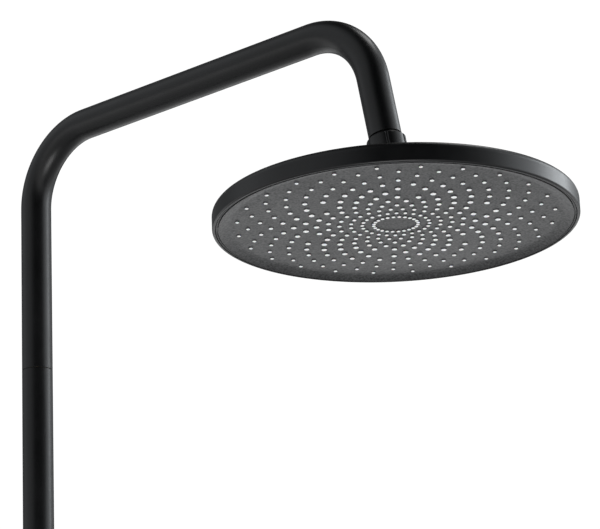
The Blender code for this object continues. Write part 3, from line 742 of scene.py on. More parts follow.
def socket_screw(radius: float, length: float, matrix: Matrix) -> bmesh.types.BMesh:
    """A headless screw with a softened rim and a hexagon socket in its outer end.

    Args:
        radius: Radius of the screw.
        length: Its length.
        matrix: Where its inner end is, with Z pointing out of the hole.

    Returns:
        The screw.
    """
    outline = rounded([
        (0.0, 0.0, 0.0),
        (radius, 0.0, 0.15 * radius),
        (radius, length, 0.12 * radius),
        (0.0, length, 0.0),
    ], 3)
    screw = turned(outline, 36, matrix)
    return carved(screw, bar(0.55 * radius, 0.4 * length, 1.5 * length, 6, matrix))


@dataclass
class Hole:
    """One hole through a disc, with the rings that line it from the lower face to the upper one."""

    x: float
    y: float
    lining: Outline


def opening_tree(openings: Sequence[Opening]) -> KDTree:
    """Sorts openings by place, so that the nearest one is quick to find.

    Args:
        openings: (x, y, radius) of each opening.

    Returns:
        The sorted places, numbered as the openings are.
    """
    tree = KDTree(len(openings))
    for i, (x, y, _) in enumerate(openings):
        tree.insert((x, y, 0.0), i)
    tree.balance()
    return tree


@dataclass
class PiercedDisc:
    """A disc whose two faces are laid as sheets round its holes, with a turned edge between them."""

    centre: Vector
    lower: Callable[[float], float]
    upper: Callable[[float], float]
    edge: Outline
    holes: list[Hole]
    posts: list[Hole] = field(default_factory=list)
    edge_segments: int = 240
    hole_segments: int = 18
    guide_pitch: float = 3.85 * MM

    def guides(self, radius: float, openings: list[Opening]) -> list[Vector]:
        """Lays guide points between the openings, so that a dished sheet stays smooth.

        Args:
            radius: Radius of the sheet.
            openings: (x, y, radius) of each opening.

        Returns:
            Points on rings, clear of every opening.
        """
        tree = opening_tree(openings)
        points = [Vector((0.0, 0.0))]
        rings = int(radius / self.guide_pitch)
        for i in range(1, rings + 1):
            around = 6 * max(2, i)
            at = (radius - 0.6 * self.guide_pitch) * i / rings
            for k in range(around):
                angle = TURN * (k + 0.5 * (i % 2)) / around
                point = Vector((at * math.cos(angle), at * math.sin(angle)))
                _, nearest, away = tree.find((point.x, point.y, 0.0))
                if away > openings[nearest][2] + 0.25 * self.guide_pitch:
                    points.append(point)
        return points

    def sheet(
        self,
        shape: bmesh.types.BMesh,
        radius: float,
        height: Callable[[float], float],
        openings: list[Opening],
    ) -> tuple[list[bmesh.types.BMVert], list[list[bmesh.types.BMVert]]]:
        """Lays one face of the disc.

        Args:
            shape: The mesh that it joins.
            radius: Radius of the face.
            height: Height of the face at a distance from its middle.
            openings: (x, y, radius) of each opening.

        Returns:
            The corners round the face and those round each opening.
        """
        loops = [(0.0, 0.0, radius, self.edge_segments)]
        loops += [(x, y, r, self.hole_segments) for x, y, r in openings]
        flat: list[Vector] = []
        sides: list[tuple[int, int]] = []
        starts: list[int] = []
        for x, y, r, segments in loops:
            starts.append(len(flat))
            sides += [(len(flat) + k, len(flat) + (k + 1) % segments) for k in range(segments)]
            flat += [
                Vector((x + r * math.cos(TURN * k / segments), y + r * math.sin(TURN * k / segments)))
                for k in range(segments)
            ]
        flat += self.guides(radius, openings)
        # The sheet is laid in millimetres, where the triangulation is at its steadiest.
        found, _, triangles, origins, _, _ = delaunay_2d_cdt(
            [point / MM for point in flat], sides, [], 0, 1e-6
        )
        corners = {}
        for new, old in enumerate(origins):
            for index in old:
                corners[index] = new
        verts = [
            shape.verts.new(
                self.centre + Vector((p.x * MM, p.y * MM, height(math.hypot(p.x, p.y) * MM)))
            )
            for p in found
        ]
        tree = opening_tree(openings)
        for triangle in triangles:
            middle = sum((found[i] for i in triangle), Vector((0.0, 0.0))) / 3.0 * MM
            _, nearest, away = tree.find((middle.x, middle.y, 0.0))
            if away > openings[nearest][2]:
                shape.faces.new([verts[i] for i in triangle])
        rings = [
            [verts[corners[start + k]] for k in range(segments)]
            for start, (_, _, _, segments) in zip(starts, loops)
        ]
        return rings[0], rings[1:]

    def build(self) -> bmesh.types.BMesh:
        """Lays both faces, lines every hole, raises the posts and closes the edge.

        Returns:
            The disc.
        """
        shape = bmesh.new()
        low_edge, low_rings = self.sheet(
            shape, self.edge[0][0], self.lower, [(h.x, h.y, h.lining[0][0]) for h in self.holes]
        )
        high_edge, high_rings = self.sheet(
            shape,
            self.edge[-1][0],
            self.upper,
            [(h.x, h.y, h.lining[-1][0]) for h in self.holes]
            + [(p.x, p.y, p.lining[0][0]) for p in self.posts],
        )
        middle = Matrix.Translation(self.centre)
        edge = [circle(shape, middle, r, z, self.edge_segments) for r, z in self.edge[1:-1]]
        bridge_run(shape, [low_edge, *edge, high_edge])
        for hole, low, high in zip(self.holes, low_rings, high_rings):
            self.line(shape, hole, [low], hole.lining[1:-1], [high])
        for post, ring in zip(self.posts, high_rings[len(self.holes):]):
            self.line(shape, post, [ring], post.lining[1:], [])
        loose_corners = [v for v in shape.verts if not v.link_faces]
        bmesh.ops.delete(shape, geom=loose_corners, context="VERTS")
        return shape

    def line(
        self,
        shape: bmesh.types.BMesh,
        hole: Hole,
        before: list[list[bmesh.types.BMVert]],
        lining: Outline,
        after: list[list[bmesh.types.BMVert]],
    ) -> None:
        """Runs the rings of a hole's lining between the rings that are there already.

        Args:
            shape: The mesh that it joins.
            hole: The hole, for its place.
            before: The ring that the lining starts from.
            lining: (radius, height) of the rings to add.
            after: The ring that it ends on, or none if it closes on itself.
        """
        place = Matrix.Translation(self.centre + Vector((hole.x, hole.y, 0.0)))
        rings = [circle(shape, place, r, z, self.hole_segments) for r, z in lining]
        bridge_run(shape, before + rings + after)


# ---------------------------------------------------------------- sub-assemblies


@dataclass
class WallBracket:
    """Wall disc, rosette, post with its collar, and the screws that hold them."""

    finishes: Finishes
    plate_thickness: float = 4.0 * MM
    boss_radius: float = 6.5 * MM
    plate_hole: float = 2.2 * MM
    plate_hole_offset: float = 14.5 * MM
    sink_share: float = 1.9
    rosette_wall: float = 1.5 * MM
    rosette_fillet: float = 2.6 * MM
    collar_fillet: float = 1.4 * MM
    neck_flare: float = 1.6 * MM
    flare_bite: float = 1.2 * MM
    bore_ease: float = 0.4 * MM
    grub_radius: float = 2.0 * MM

    def __post_init__(self) -> None:
        """Reads the bracket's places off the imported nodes."""
        self.plate_low, self.plate_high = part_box("wall_plate")
        self.rosette_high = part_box("rosette")[1]
        self.arm_low, self.arm_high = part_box("bracket_arm")
        self.liner_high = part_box("collar_liner")[1]
        self.riser = middle_of("riser_pipe")
        self.outward = Matrix.Rotation(math.pi / 2, 4, "Y")
        self.sideways = Matrix.Rotation(-math.pi / 2, 4, "X")
        self.post_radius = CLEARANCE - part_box("post_grub_screw")[0].z

    def build_plate(self) -> None:
        """Steel disc with its boss and two wall screw holes, countersunk."""
        thickness, boss = self.plate_thickness, self.boss_radius
        radius = self.plate_high.y
        outline = rounded([
            (0.0, self.plate_high.x, 0.0),
            (boss, self.plate_high.x, 0.8 * MM),
            (boss, thickness, 0.6 * MM),
            (radius, thickness, 0.5 * MM),
            (radius, 0.0, 0.3 * MM),
            (0.0, 0.0, 0.0),
        ])
        plate = turned(outline, matrix=self.outward)
        sunk = self.sink_share * self.plate_hole
        sink = [
            (0.0, -thickness),
            (self.plate_hole, -thickness),
            (self.plate_hole, 0.45 * thickness),
            (sunk, thickness + 0.05 * MM),
            (sunk, 2.0 * thickness),
            (0.0, 2.0 * thickness),
        ]
        holes = ring_pattern(
            lambda: turned(sink, 36, Matrix.Translation((self.plate_hole_offset, 0.0, 0.0))),
            2,
            math.pi / 2,
            self.outward,
        )
        add_piece("wall_disc", carved(plate, holes), self.finishes.steel, Body.COLUMN, "wall_plate")

    def build_rosette(self) -> None:
        """Coated cup that hides the disc, with a rounded brow."""
        depth, radius = self.rosette_high.x, self.rosette_high.y
        wall, bore = self.rosette_wall, self.post_radius + CLEARANCE
        outline = rounded([
            (bore, depth, 0.3 * MM),
            (radius, depth, self.rosette_fillet),
            (radius, 0.0, 0.3 * MM),
            (radius - wall, 0.0, 0.2 * MM),
            (radius - wall, depth - wall, self.rosette_fillet - wall),
            (bore, depth - wall, 0.2 * MM),
        ], 8)
        add_piece(
            "wall_rosette",
            turned(outline, FINE_FACETS, self.outward),
            self.finishes.coat,
            Body.COLUMN,
            "rosette",
        )

    def build_arm(self) -> None:
        """Post and collar as one casting, with a flare where they meet and two screw holes."""
        collar = self.arm_high.y
        bore = self.liner_high.y + CLEARANCE
        end = self.riser.x - 0.5 * bore
        base = self.arm_low.x
        hollow = self.boss_radius + CLEARANCE
        boss_end = self.plate_high.x + CLEARANCE
        flare = self.riser.x - math.sqrt(collar**2 - self.post_radius**2)
        post = turned(
            rounded([
                (0.0, end, 0.0),
                (self.post_radius + self.neck_flare, end, 0.0),
                (self.post_radius + self.neck_flare, flare + self.flare_bite, 0.0),
                (self.post_radius, flare - 2.0 * self.neck_flare, 2.5 * MM),
                (self.post_radius, base, 0.3 * MM),
                (hollow, base, 0.2 * MM),
                (hollow, boss_end, 0.0),
                (0.0, boss_end, 0.0),
            ]),
            matrix=self.outward,
        )
        half = self.arm_high.z
        column = Matrix.Translation((self.riser.x, 0.0, 0.0))
        ring = turned(
            rounded([
                (0.0, -half, 0.0),
                (collar, -half, self.collar_fillet),
                (collar, half, self.collar_fillet),
                (0.0, half, 0.0),
            ]),
            FINE_FACETS,
            column,
        )
        casting = carved(post, ring, Carving.JOIN)
        ease, beyond = self.bore_ease, 2.0 * half
        reamer: Outline = [
            (0.0, -beyond),
            (bore + ease, -beyond),
            (bore + ease, -half),
            (bore, ease - half),
            (bore, half - ease),
            (bore + ease, half),
            (bore + ease, beyond),
            (0.0, beyond),
        ]
        casting = carved(casting, turned(reamer, 120, column))
        for place, inside in ((column @ self.sideways, bore), (self.under_screw(), hollow)):
            drill = bar(self.grub_radius + CLEARANCE, 0.9 * inside, 2.0 * collar, 36, place)
            casting = carved(casting, drill)
        add_piece("collar_arm", casting, self.finishes.coat, Body.COLUMN, "bracket_arm")

    def under_screw(self) -> Matrix:
        """Axis of the screw under the post, pointing down."""
        spot = Matrix.Translation((middle_of("post_grub_screw").x, 0.0, 0.0))
        return spot @ Matrix.Rotation(math.pi, 4, "X")

    def build_small(self) -> None:
        """White liner in the collar and the two socket screws."""
        half = self.arm_high.z
        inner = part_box("riser_pipe")[1].y + CLEARANCE
        liner = plain_ring(self.liner_high.y, inner, half, -half, 0.25 * MM, 3)
        add_piece(
            "riser_liner",
            turned(liner, matrix=Matrix.Translation((self.riser.x, 0.0, 0.0))),
            self.finishes.acetal,
            Body.COLUMN,
            "collar_liner",
        )
        low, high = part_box("collar_grub_screw")
        side = Matrix.Translation((self.riser.x, low.y, 0.0)) @ self.sideways
        add_piece(
            "collar_screw",
            socket_screw(self.grub_radius, high.y - low.y, side),
            self.finishes.steel,
            Body.COLUMN,
            "collar_grub_screw",
        )
        low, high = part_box("post_grub_screw")
        under = self.under_screw() @ Matrix.Translation((0.0, 0.0, -high.z))
        add_piece(
            "post_screw",
            socket_screw(self.grub_radius, high.z - low.z, under),
            self.finishes.steel,
            Body.COLUMN,
            "post_grub_screw",
        )

    def build(self) -> None:
        """Builds the whole bracket."""
        self.build_plate()
        self.build_rosette()
        self.build_arm()
        self.build_small()


@dataclass
class Riser:
    """Straight riser tube with its inlet fitting and union nut."""

    finishes: Finishes
    wall: float = 1.0 * MM
    end_ease: float = 0.2 * MM
    spigot_wall: float = 2.7 * MM
    flange_thickness: float = 2.4 * MM
    washer_ease: float = 0.35 * MM
    nut_ease: float = 0.3 * MM
    thread_pitch: float = 1.3 * MM
    thread_depth: float = 0.5 * MM
    thread_lead: float = 0.9 * MM

    def __post_init__(self) -> None:
        """Reads the riser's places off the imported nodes."""
        self.low, self.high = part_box("riser_pipe")
        self.radius = self.high.y
        self.axis = Matrix.Translation((middle_of("riser_pipe").x, 0.0, 0.0))

    def build_tube(self) -> None:
        """The coated tube, with its two cut ends eased."""
        outline = rounded([
            (self.radius, self.high.z, self.end_ease),
            (self.radius - self.wall, self.high.z, 0.0),
            (self.radius - self.wall, self.low.z, 0.0),
            (self.radius, self.low.z, self.end_ease),
        ], 3)
        add_piece(
            "riser_tube", turned(outline, matrix=self.axis), self.finishes.coat, Body.COLUMN, "riser_pipe"
        )

    def build_inlet(self) -> None:
        """Brass tail that the riser stands on, its washer and the hexagon nut round it."""
        tail_low, tail_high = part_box("tail_piece")
        flange = tail_high.y
        flange_top = tail_low.z + self.flange_thickness
        neck_top = self.low.z - CLEARANCE
        spigot = self.radius - self.wall - CLEARANCE
        bore = spigot - self.spigot_wall
        tail = rounded([
            (bore, tail_high.z, 0.3 * MM),
            (spigot, tail_high.z, 0.6 * MM),
            (spigot, neck_top, 0.0),
            (self.radius, neck_top, 0.4 * MM),
            (self.radius, flange_top, 0.5 * MM),
            (flange, flange_top, 0.3 * MM),
            (flange, tail_low.z, 0.3 * MM),
            (bore, tail_low.z, 0.4 * MM),
        ], 4)
        add_piece(
            "inlet_tail", turned(tail, matrix=self.axis), self.finishes.brass, Body.COLUMN, "tail_piece"
        )
        low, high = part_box("union_washer")
        washer = plain_ring(high.y, bore, high.z, low.z, self.washer_ease)
        add_piece(
            "inlet_washer", turned(washer, 72, self.axis), self.finishes.rubber, Body.COLUMN, "union_washer"
        )
        self.build_nut(flange + CLEARANCE, flange_top + CLEARANCE)

    def build_nut(self, thread_bore: float, lip: float) -> None:
        """Hexagon nut with turned chamfers, a threaded bore and a lip that holds the tail.

        Args:
            thread_bore: Radius of its bore.
            lip: Height of the underside of its lip.
        """
        low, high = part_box("union_nut")
        corner = high.x - self.axis.translation.x
        flat = corner * math.cos(math.pi / 6)
        chamfer = 0.6 * (corner - flat + self.nut_ease)
        land, beyond = flat - self.nut_ease, corner + 0.1 * MM
        height = high.z - low.z
        blank = bar(corner, low.z, high.z, 6, self.axis)
        cone = turned(
            [
                (0.0, high.z + MM),
                (land, high.z + MM),
                (land, high.z),
                (beyond, high.z - chamfer),
                (beyond, low.z + chamfer),
                (land, low.z),
                (land, low.z - MM),
                (0.0, low.z - MM),
            ],
            matrix=self.axis,
        )
        nut = carved(blank, cone, Carving.TRIM)
        pitch, lead = self.thread_pitch, thread_bore + self.thread_lead
        thread: Outline = [(0.0, lip), (thread_bore, lip)]
        turns = int((lip - low.z) / pitch) - 1
        for i in range(turns):
            top = lip - pitch * (i + 0.6)
            thread += [
                (thread_bore, top),
                (thread_bore + self.thread_depth, top - 0.35 * pitch),
                (thread_bore, top - 0.7 * pitch),
            ]
        thread += [(thread_bore, low.z + 0.8 * MM), (lead, low.z - 0.1 * MM)]
        thread += [(lead, low.z - height), (0.0, low.z - height)]
        nut = carved(nut, turned(thread, 72, self.axis))
        nut = carved(nut, bar(self.radius + CLEARANCE, low.z, high.z + height, 96, self.axis))
        add_piece("inlet_nut", nut, self.finishes.coat, Body.UNION, "union_nut", sharp=25.0)

    def build(self) -> None:
        """Builds the riser and its inlet."""
        self.build_tube()
        self.build_inlet()


@dataclass
class Arm:
    """The bent arm tube and its stop screw."""

    finishes: Finishes
    wall: float = 1.0 * MM
    bend_radius: float = 55.0 * MM
    reach: float = 325.0 * MM
    slant: float = math.radians(10.0)
    outlet_length: float = 92.0 * MM
    end_ease: float = 0.2 * MM
    bend_steps: int = 40
    grub_radius: float = 2.0 * MM

    def __post_init__(self) -> None:
        """Reads the arm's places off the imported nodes."""
        low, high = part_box("arm_pipe")
        self.radius = high.y
        self.foot = low.z
        self.riser_x = middle_of("riser_pipe").x
        self.height = high.z - self.radius

    def stations(self) -> list[Matrix]:
        """Lays places along the tube's axis.

        Returns:
            The places, from the tube's foot to its outlet, each with Z along the tube.
        """
        second_turn = math.pi / 2 - self.slant
        leg = self.bend_radius * math.tan(second_turn / 2)
        places = [Matrix.Translation((self.riser_x, 0.0, self.foot))]
        corner_x = self.riser_x + self.reach
        low = self.height - self.bend_radius
        bends = (
            (self.riser_x + self.bend_radius, low, 0.0, math.pi / 2),
            (corner_x - leg, low, math.pi / 2, second_turn),
        )
        for x, z, start, sweep in bends:
            for i in range(self.bend_steps + 1):
                turn = start + sweep * i / self.bend_steps
                out = Vector((-math.cos(turn), 0.0, math.sin(turn))) * self.bend_radius
                spot = Matrix.Translation(Vector((x, 0.0, z)) + out)
                places.append(spot @ Matrix.Rotation(turn, 4, "Y"))
        down = Vector((math.sin(self.slant), 0.0, -math.cos(self.slant)))
        end = Vector((corner_x, 0.0, self.height)) + down * self.outlet_length
        places.append(Matrix.Translation(end) @ Matrix.Rotation(math.pi / 2 + second_turn, 4, "Y"))
        return places

    def build(self) -> None:
        """Builds the tube, drills it for the stop screw and fits the screw."""
        tube = swept(self.stations(), self.radius, self.radius - self.wall, self.end_ease)
        low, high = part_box("swivel_stop_screw")
        spot = Matrix.Translation((self.riser_x, 0.0, middle_of("swivel_stop_screw").z))
        back = spot @ Matrix.Rotation(-math.pi / 2, 4, "Y")
        drill = self.grub_radius + CLEARANCE
        hole = bar(drill, self.radius - 4.0 * self.wall, 2.0 * self.radius, 36, back)
        add_piece("arm_tube", carved(tube, hole), self.finishes.coat, Body.ARM, "arm_pipe")
        start = back @ Matrix.Translation((0.0, 0.0, self.riser_x - high.x))
        add_piece(
            "stop_screw",
            socket_screw(self.grub_radius, high.x - low.x, start),
            self.finishes.steel,
            Body.ARM,
            "swivel_stop_screw",
        )


@dataclass
class BallJoint:
    """The nut and ball on the arm, and the socket, cap ring and washer on the head."""

    finishes: Finishes
    pivot: Vector
    slant: float
    ball_radius: float = 10.0 * MM
    ball_bore: float = 4.0 * MM
    neck_radius: float = 6.0 * MM
    nut_low: float = 11.6 * MM
    nut_high: float = 28.7 * MM
    nut_radius: float = 13.6 * MM
    nut_chamfer: float = 2.2 * MM
    cone_high: float = 16.7 * MM
    cone_radius: float = 9.1 * MM
    thread_bore: float = 10.7 * MM
    thread_floor: float = 15.5 * MM
    pocket_radius: float = 6.2 * MM
    pocket_low: float = 12.8 * MM
    flutes: int = 6
    flute_depth: float = 0.6 * MM
    flute_width: float = 2.2 * MM
    flute_phase: float = math.radians(10.0)
    grips: int = 24
    grip_depth: float = 0.35 * MM
    grip_cutter: float = 1.2 * MM
    cavity_radius: float = 11.4 * MM
    socket_wall: float = 1.6 * MM
    lip_radius: float = 10.3 * MM
    lip_angle: float = math.radians(64.0)
    cap_wall: float = 2.7 * MM
    cap_chamfer: float = 1.35 * MM
    flange_thickness: float = 1.8 * MM
    shank_radius: float = 9.0 * MM
    seal_radius: float = 7.2 * MM
    seal_sink: float = 0.9 * MM
    washer_ease: float = 0.4 * MM

    def __post_init__(self) -> None:
        """Sets the two axes that the joint's pieces are turned on."""
        tilt = Matrix.Rotation(-self.slant, 4, "Y")
        self.outlet = Matrix.Translation(self.pivot) @ tilt
        self.socket = Matrix.Translation(self.pivot)

    def build_nut(self) -> None:
        """Nut, neck and ball turned in one piece, with key flutes round the nut."""
        neck_angle = math.asin(self.neck_radius / self.ball_radius)
        mouth_angle = math.pi - math.asin(self.ball_bore / self.ball_radius)
        outline = rounded([
            (self.thread_bore, self.nut_high, 0.25 * MM),
            (self.nut_radius - self.nut_chamfer, self.nut_high, 0.35 * MM),
            (self.nut_radius, self.nut_high - self.nut_chamfer, 0.5 * MM),
            (self.nut_radius, self.cone_high, 0.5 * MM),
            (self.cone_radius, self.nut_low, 0.5 * MM),
            (self.neck_radius, self.nut_low, 0.5 * MM),
            (self.neck_radius, self.ball_radius * math.cos(neck_angle), 0.0),
        ])
        outline += sphere_arc(self.ball_radius, neck_angle, mouth_angle, 30)[1:]
        outline += [
            (self.ball_bore, self.pocket_low),
            (self.pocket_radius, self.pocket_low),
            (self.pocket_radius, self.thread_floor),
            (self.thread_bore, self.thread_floor),
        ]
        nut = turned(outline, 120, self.outlet)
        cutter = (self.flute_width**2 / 4 + self.flute_depth**2) / (2 * self.flute_depth)
        offset = Matrix.Translation((self.nut_radius + cutter - self.flute_depth, 0.0, 0.0))
        flutes = ring_pattern(
            lambda: bar(cutter, self.cone_high + 0.4 * MM, self.nut_high + MM, 48, offset),
            self.flutes,
            self.flute_phase,
            self.outlet,
        )
        add_piece(
            "ball_nut", carved(nut, flutes), self.finishes.coat, Body.ARM, "ball_connector", sharp=28.0
        )

    def build_cap(self) -> None:
        """Cap ring that keeps the ball in its socket, with a fine grip round it."""
        low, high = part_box("retaining_ring")
        bottom, top = low.z - self.pivot.z, high.z - self.pivot.z
        radius = high.y
        bore = radius - self.cap_wall
        lip = math.acos(top / self.lip_radius)
        seat = math.asin(3.0 * CLEARANCE / self.cavity_radius)
        shelf_height = self.lip_radius * math.cos(self.lip_angle) + 0.5 * CLEARANCE
        shelf = math.acos(shelf_height / self.cavity_radius)
        outline: Outline = [(bore, bottom), (bore, self.cavity_radius * math.sin(seat))]
        outline += sphere_arc(self.cavity_radius, math.pi / 2 - seat, shelf, 10)
        outline += sphere_arc(self.lip_radius, self.lip_angle, lip, 8)
        outline += rounded([
            (radius - self.cap_chamfer, top, 0.5 * MM),
            (radius, top - self.cap_chamfer, 0.5 * MM),
            (radius, bottom, 0.3 * MM),
            (bore, bottom, 0.0),
            (self.lip_radius * math.sin(lip), top, 0.0),
        ])[:-2]
        ring = turned(outline, 144, self.socket)
        offset = Matrix.Translation((radius + self.grip_cutter - self.grip_depth, 0.0, 0.0))
        grips = ring_pattern(
            lambda: bar(self.grip_cutter, bottom + 1.5 * MM, top - 2.0 * MM, 24, offset),
            self.grips,
            0.0,
            self.socket,
        )
        cap = carved(ring, grips)
        add_piece("ball_cap_ring", cap, self.finishes.coat, Body.HEAD, "retaining_ring", sharp=28.0)

    def build_socket(self) -> None:
        """Socket with its flange on the head, and the washer between them."""
        low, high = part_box("neck_socket")
        washer_low, washer_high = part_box("neck_gasket")
        flange = high.y
        foot = low.z - self.pivot.z
        flange_low = washer_high.z + CLEARANCE - self.pivot.z
        flange_high = flange_low + self.flange_thickness
        pocket = self.seal_radius + CLEARANCE
        floor = flange_low - self.seal_sink
        outer = self.cavity_radius + self.socket_wall
        mouth = math.pi - math.asin(pocket / self.cavity_radius)
        outline = sphere_arc(self.cavity_radius, mouth, math.pi / 2, 16)
        outline += rounded([
            (outer, 0.0, 0.2 * MM),
            (outer, flange_high, 0.3 * MM),
            (flange, flange_high, 0.5 * MM),
            (flange, flange_low, 0.3 * MM),
            (self.shank_radius, flange_low, 0.0),
            (self.shank_radius, foot, 0.5 * MM),
            (self.ball_bore, foot, 0.3 * MM),
            (self.ball_bore, floor, 0.0),
            (pocket, floor, 0.0),
            (self.cavity_radius, 0.0, 0.0),
        ], 4)[:-1]
        socket = turned(outline, 120, self.socket)
        add_piece("neck_flange", socket, self.finishes.coat, Body.HEAD, "neck_socket")
        bore = self.shank_radius + CLEARANCE
        washer = turned(
            plain_ring(washer_high.y, bore, washer_high.z, washer_low.z, self.washer_ease),
            matrix=Matrix.Translation((self.pivot.x, self.pivot.y, 0.0)),
        )
        add_piece("neck_washer", washer, self.finishes.rubber, Body.HEAD, "neck_gasket")

    def build(self) -> None:
        """Builds the whole joint."""
        self.build_nut()
        self.build_cap()
        self.build_socket()


@dataclass
class RainHead:
    """Crowned back shell, dished spray face and the silicone mat with its spray nozzles."""

    finishes: Finishes
    centre: Vector
    rim_bottom: float = -1.7 * MM
    rim_top: float = 12.7 * MM
    lower_fillet: float = 1.4 * MM
    upper_fillet: float = 5.4 * MM
    shell_wall: float = 2.2 * MM
    crown_land: float = 26.0 * MM
    crown_top: float = 21.0 * MM
    crown_fillet: float = 14.0 * MM
    brow_fillet: float = 8.0 * MM
    lip_fillet: float = 0.6 * MM
    shell_bore: float = 9.3 * MM
    dish: float = 0.094
    band_width: float = 10.0 * MM
    band_crease: float = 0.30
    band_low: float = -1.45 * MM
    bead_width: float = 1.0 * MM
    bead_low: float = -1.25 * MM
    groove_width: float = 0.8 * MM
    groove_top: float = -0.2 * MM
    groove_ease: float = 0.12 * MM
    band_steps: int = 14
    bead_steps: int = 8
    face_back: float = 2.6 * MM
    mat_thickness: float = 1.5 * MM
    first_ring: float = 15.0 * MM
    ring_pitch: float = 7.7 * MM
    rings: int = 13
    columns: int = 24
    phase: float = math.radians(47.05)
    screw_ring: int = 6
    nozzle_least: float = 2.5 * MM
    nozzle_swell: float = 1.3 * MM
    swell_rings: float = 3.0
    collar_wall: float = 0.34 * MM
    collar_skirt: float = 0.28 * MM
    collar_height: float = 0.50 * MM
    tip_proud: float = 0.30 * MM
    orifice: float = 0.45 * MM
    screws: int = 6
    boss_radius: float = 4.0 * MM
    boss_ease: float = 0.4 * MM
    pilot_radius: float = 1.8 * MM
    boss_high: float = 7.7 * MM

    def __post_init__(self) -> None:
        """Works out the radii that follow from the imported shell."""
        low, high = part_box("back_shell")
        self.radius = (high.x - low.x) / 2.0
        self.face_radius = self.radius - self.shell_wall - CLEARANCE
        self.field_radius = self.face_radius - self.band_width

    def nozzles(self) -> list[Opening]:
        """Lays the spray nozzles on their rings, and leaves a gap over every chamber screw.

        Returns:
            Each nozzle's (x, y, radius) from the middle of the face.
        """
        found = []
        screw_gap = self.columns // self.screws
        for i in range(self.rings):
            at = self.first_ring + self.ring_pitch * i
            swell = math.exp(-(((i - self.screw_ring) / self.swell_rings) ** 2))
            radius = (self.nozzle_least + self.nozzle_swell * swell) / 2.0
            for j in range(self.columns):
                if i == self.screw_ring and j % screw_gap == 2:
                    continue
                angle = self.phase + TURN * (j + 0.5 * (i % 2)) / self.columns
                found.append((at * math.cos(angle), at * math.sin(angle), radius))
        return found

    def bosses(self, lining: Outline) -> list[Hole]:
        """Gives the same lining to each of the chamber screws."""
        spots = [middle_of(f"chamber_screw_{i + 1}") - self.centre for i in range(self.screws)]
        return [Hole(spot.x, spot.y, lining) for spot in spots]

    def face_height(self, radius: float) -> float:
        """Height of the dished face at a radius."""
        return self.dish * radius**2

    def build_shell(self) -> None:
        """Back shell: flat land, gently crowned top, upright rim with rounded edges."""
        wall = self.shell_wall
        inner, brow = self.radius - wall, self.radius - self.upper_fillet
        outline = rounded([
            (self.shell_bore, self.crown_top, 0.0),
            (self.crown_land, self.crown_top, self.crown_fillet),
            (brow, self.rim_top, self.brow_fillet),
            (self.radius, self.rim_top, self.upper_fillet - 0.5 * MM),
            (self.radius, self.rim_bottom, self.lower_fillet),
            (inner, self.rim_bottom, self.lip_fillet),
            (inner, self.rim_top - wall, self.upper_fillet - wall),
            (brow, self.rim_top - wall, 0.5 * self.brow_fillet),
            (self.crown_land, self.crown_top - wall, self.crown_fillet),
            (self.shell_bore, self.crown_top - wall, 0.0),
        ], 16)
        shell = turned(outline, HEAD_FACETS, Matrix.Translation(self.centre))
        add_piece("rain_shell", shell, self.finishes.coat, Body.HEAD, "back_shell")

    def band(self) -> Outline:
        """Lays the edge of the face: a band that steepens outward, a groove, a bead and the wall.

        Returns:
            The edge, from the flat field's lower side round to its upper side.
        """
        start = self.face_height(self.field_radius)
        bead = self.bead_width / 2.0
        groove_out = self.face_radius - self.bead_width
        groove_in = groove_out - self.groove_width
        width = groove_in - self.field_radius
        outline = []
        for k in range(self.band_steps + 1):
            t = k / self.band_steps
            fall = self.band_crease * t + (1.0 - self.band_crease) * t**2
            outline.append((self.field_radius + width * t, start - (start - self.band_low) * fall))
        outline += [
            (groove_in + self.groove_ease, self.band_low + self.groove_ease),
            (groove_in + self.groove_ease, self.groove_top),
            (groove_out, self.groove_top),
        ]
        for k in range(self.bead_steps + 1):
            angle = math.pi * k / self.bead_steps
            outline.append((
                groove_out + bead * (1.0 - math.cos(angle)),
                self.bead_low + bead * (1.0 - math.sin(angle)),
            ))
        outline.append((self.face_radius, self.face_back))
        outline.append((self.field_radius, self.face_back))
        return outline

    def build_face(self) -> None:
        """Spray face with a raised collar round every nozzle and the screw bosses behind."""
        holes = []
        edge = 0.1 * MM
        for x, y, radius in self.nozzles():
            bore, outer = radius + 0.08 * MM, radius + self.collar_wall
            tip = self.face_height(math.hypot(x, y)) - self.collar_height
            holes.append(
                Hole(x, y, [
                    (outer + self.collar_skirt, 0.0),
                    (outer + 0.3 * self.collar_skirt, tip + 0.65 * self.collar_height),
                    (outer, tip + edge),
                    (outer - edge, tip),
                    (bore + 0.5 * edge, tip),
                    (bore, tip + 0.5 * edge),
                    (bore, self.face_back),
                ])
            )
        pilot_low = self.face_back + CLEARANCE
        boss = self.bosses([
            (self.boss_radius, self.face_back),
            (self.boss_radius, self.boss_high - self.boss_ease),
            (self.boss_radius - self.boss_ease, self.boss_high),
            (self.pilot_radius, self.boss_high),
            (self.pilot_radius, pilot_low),
            (0.0, pilot_low),
        ])
        face = PiercedDisc(
            self.centre, self.face_height, lambda _: self.face_back, self.band(), holes, boss
        )
        add_piece("spray_face", face.build(), self.finishes.face, Body.HEAD, "face_plate")

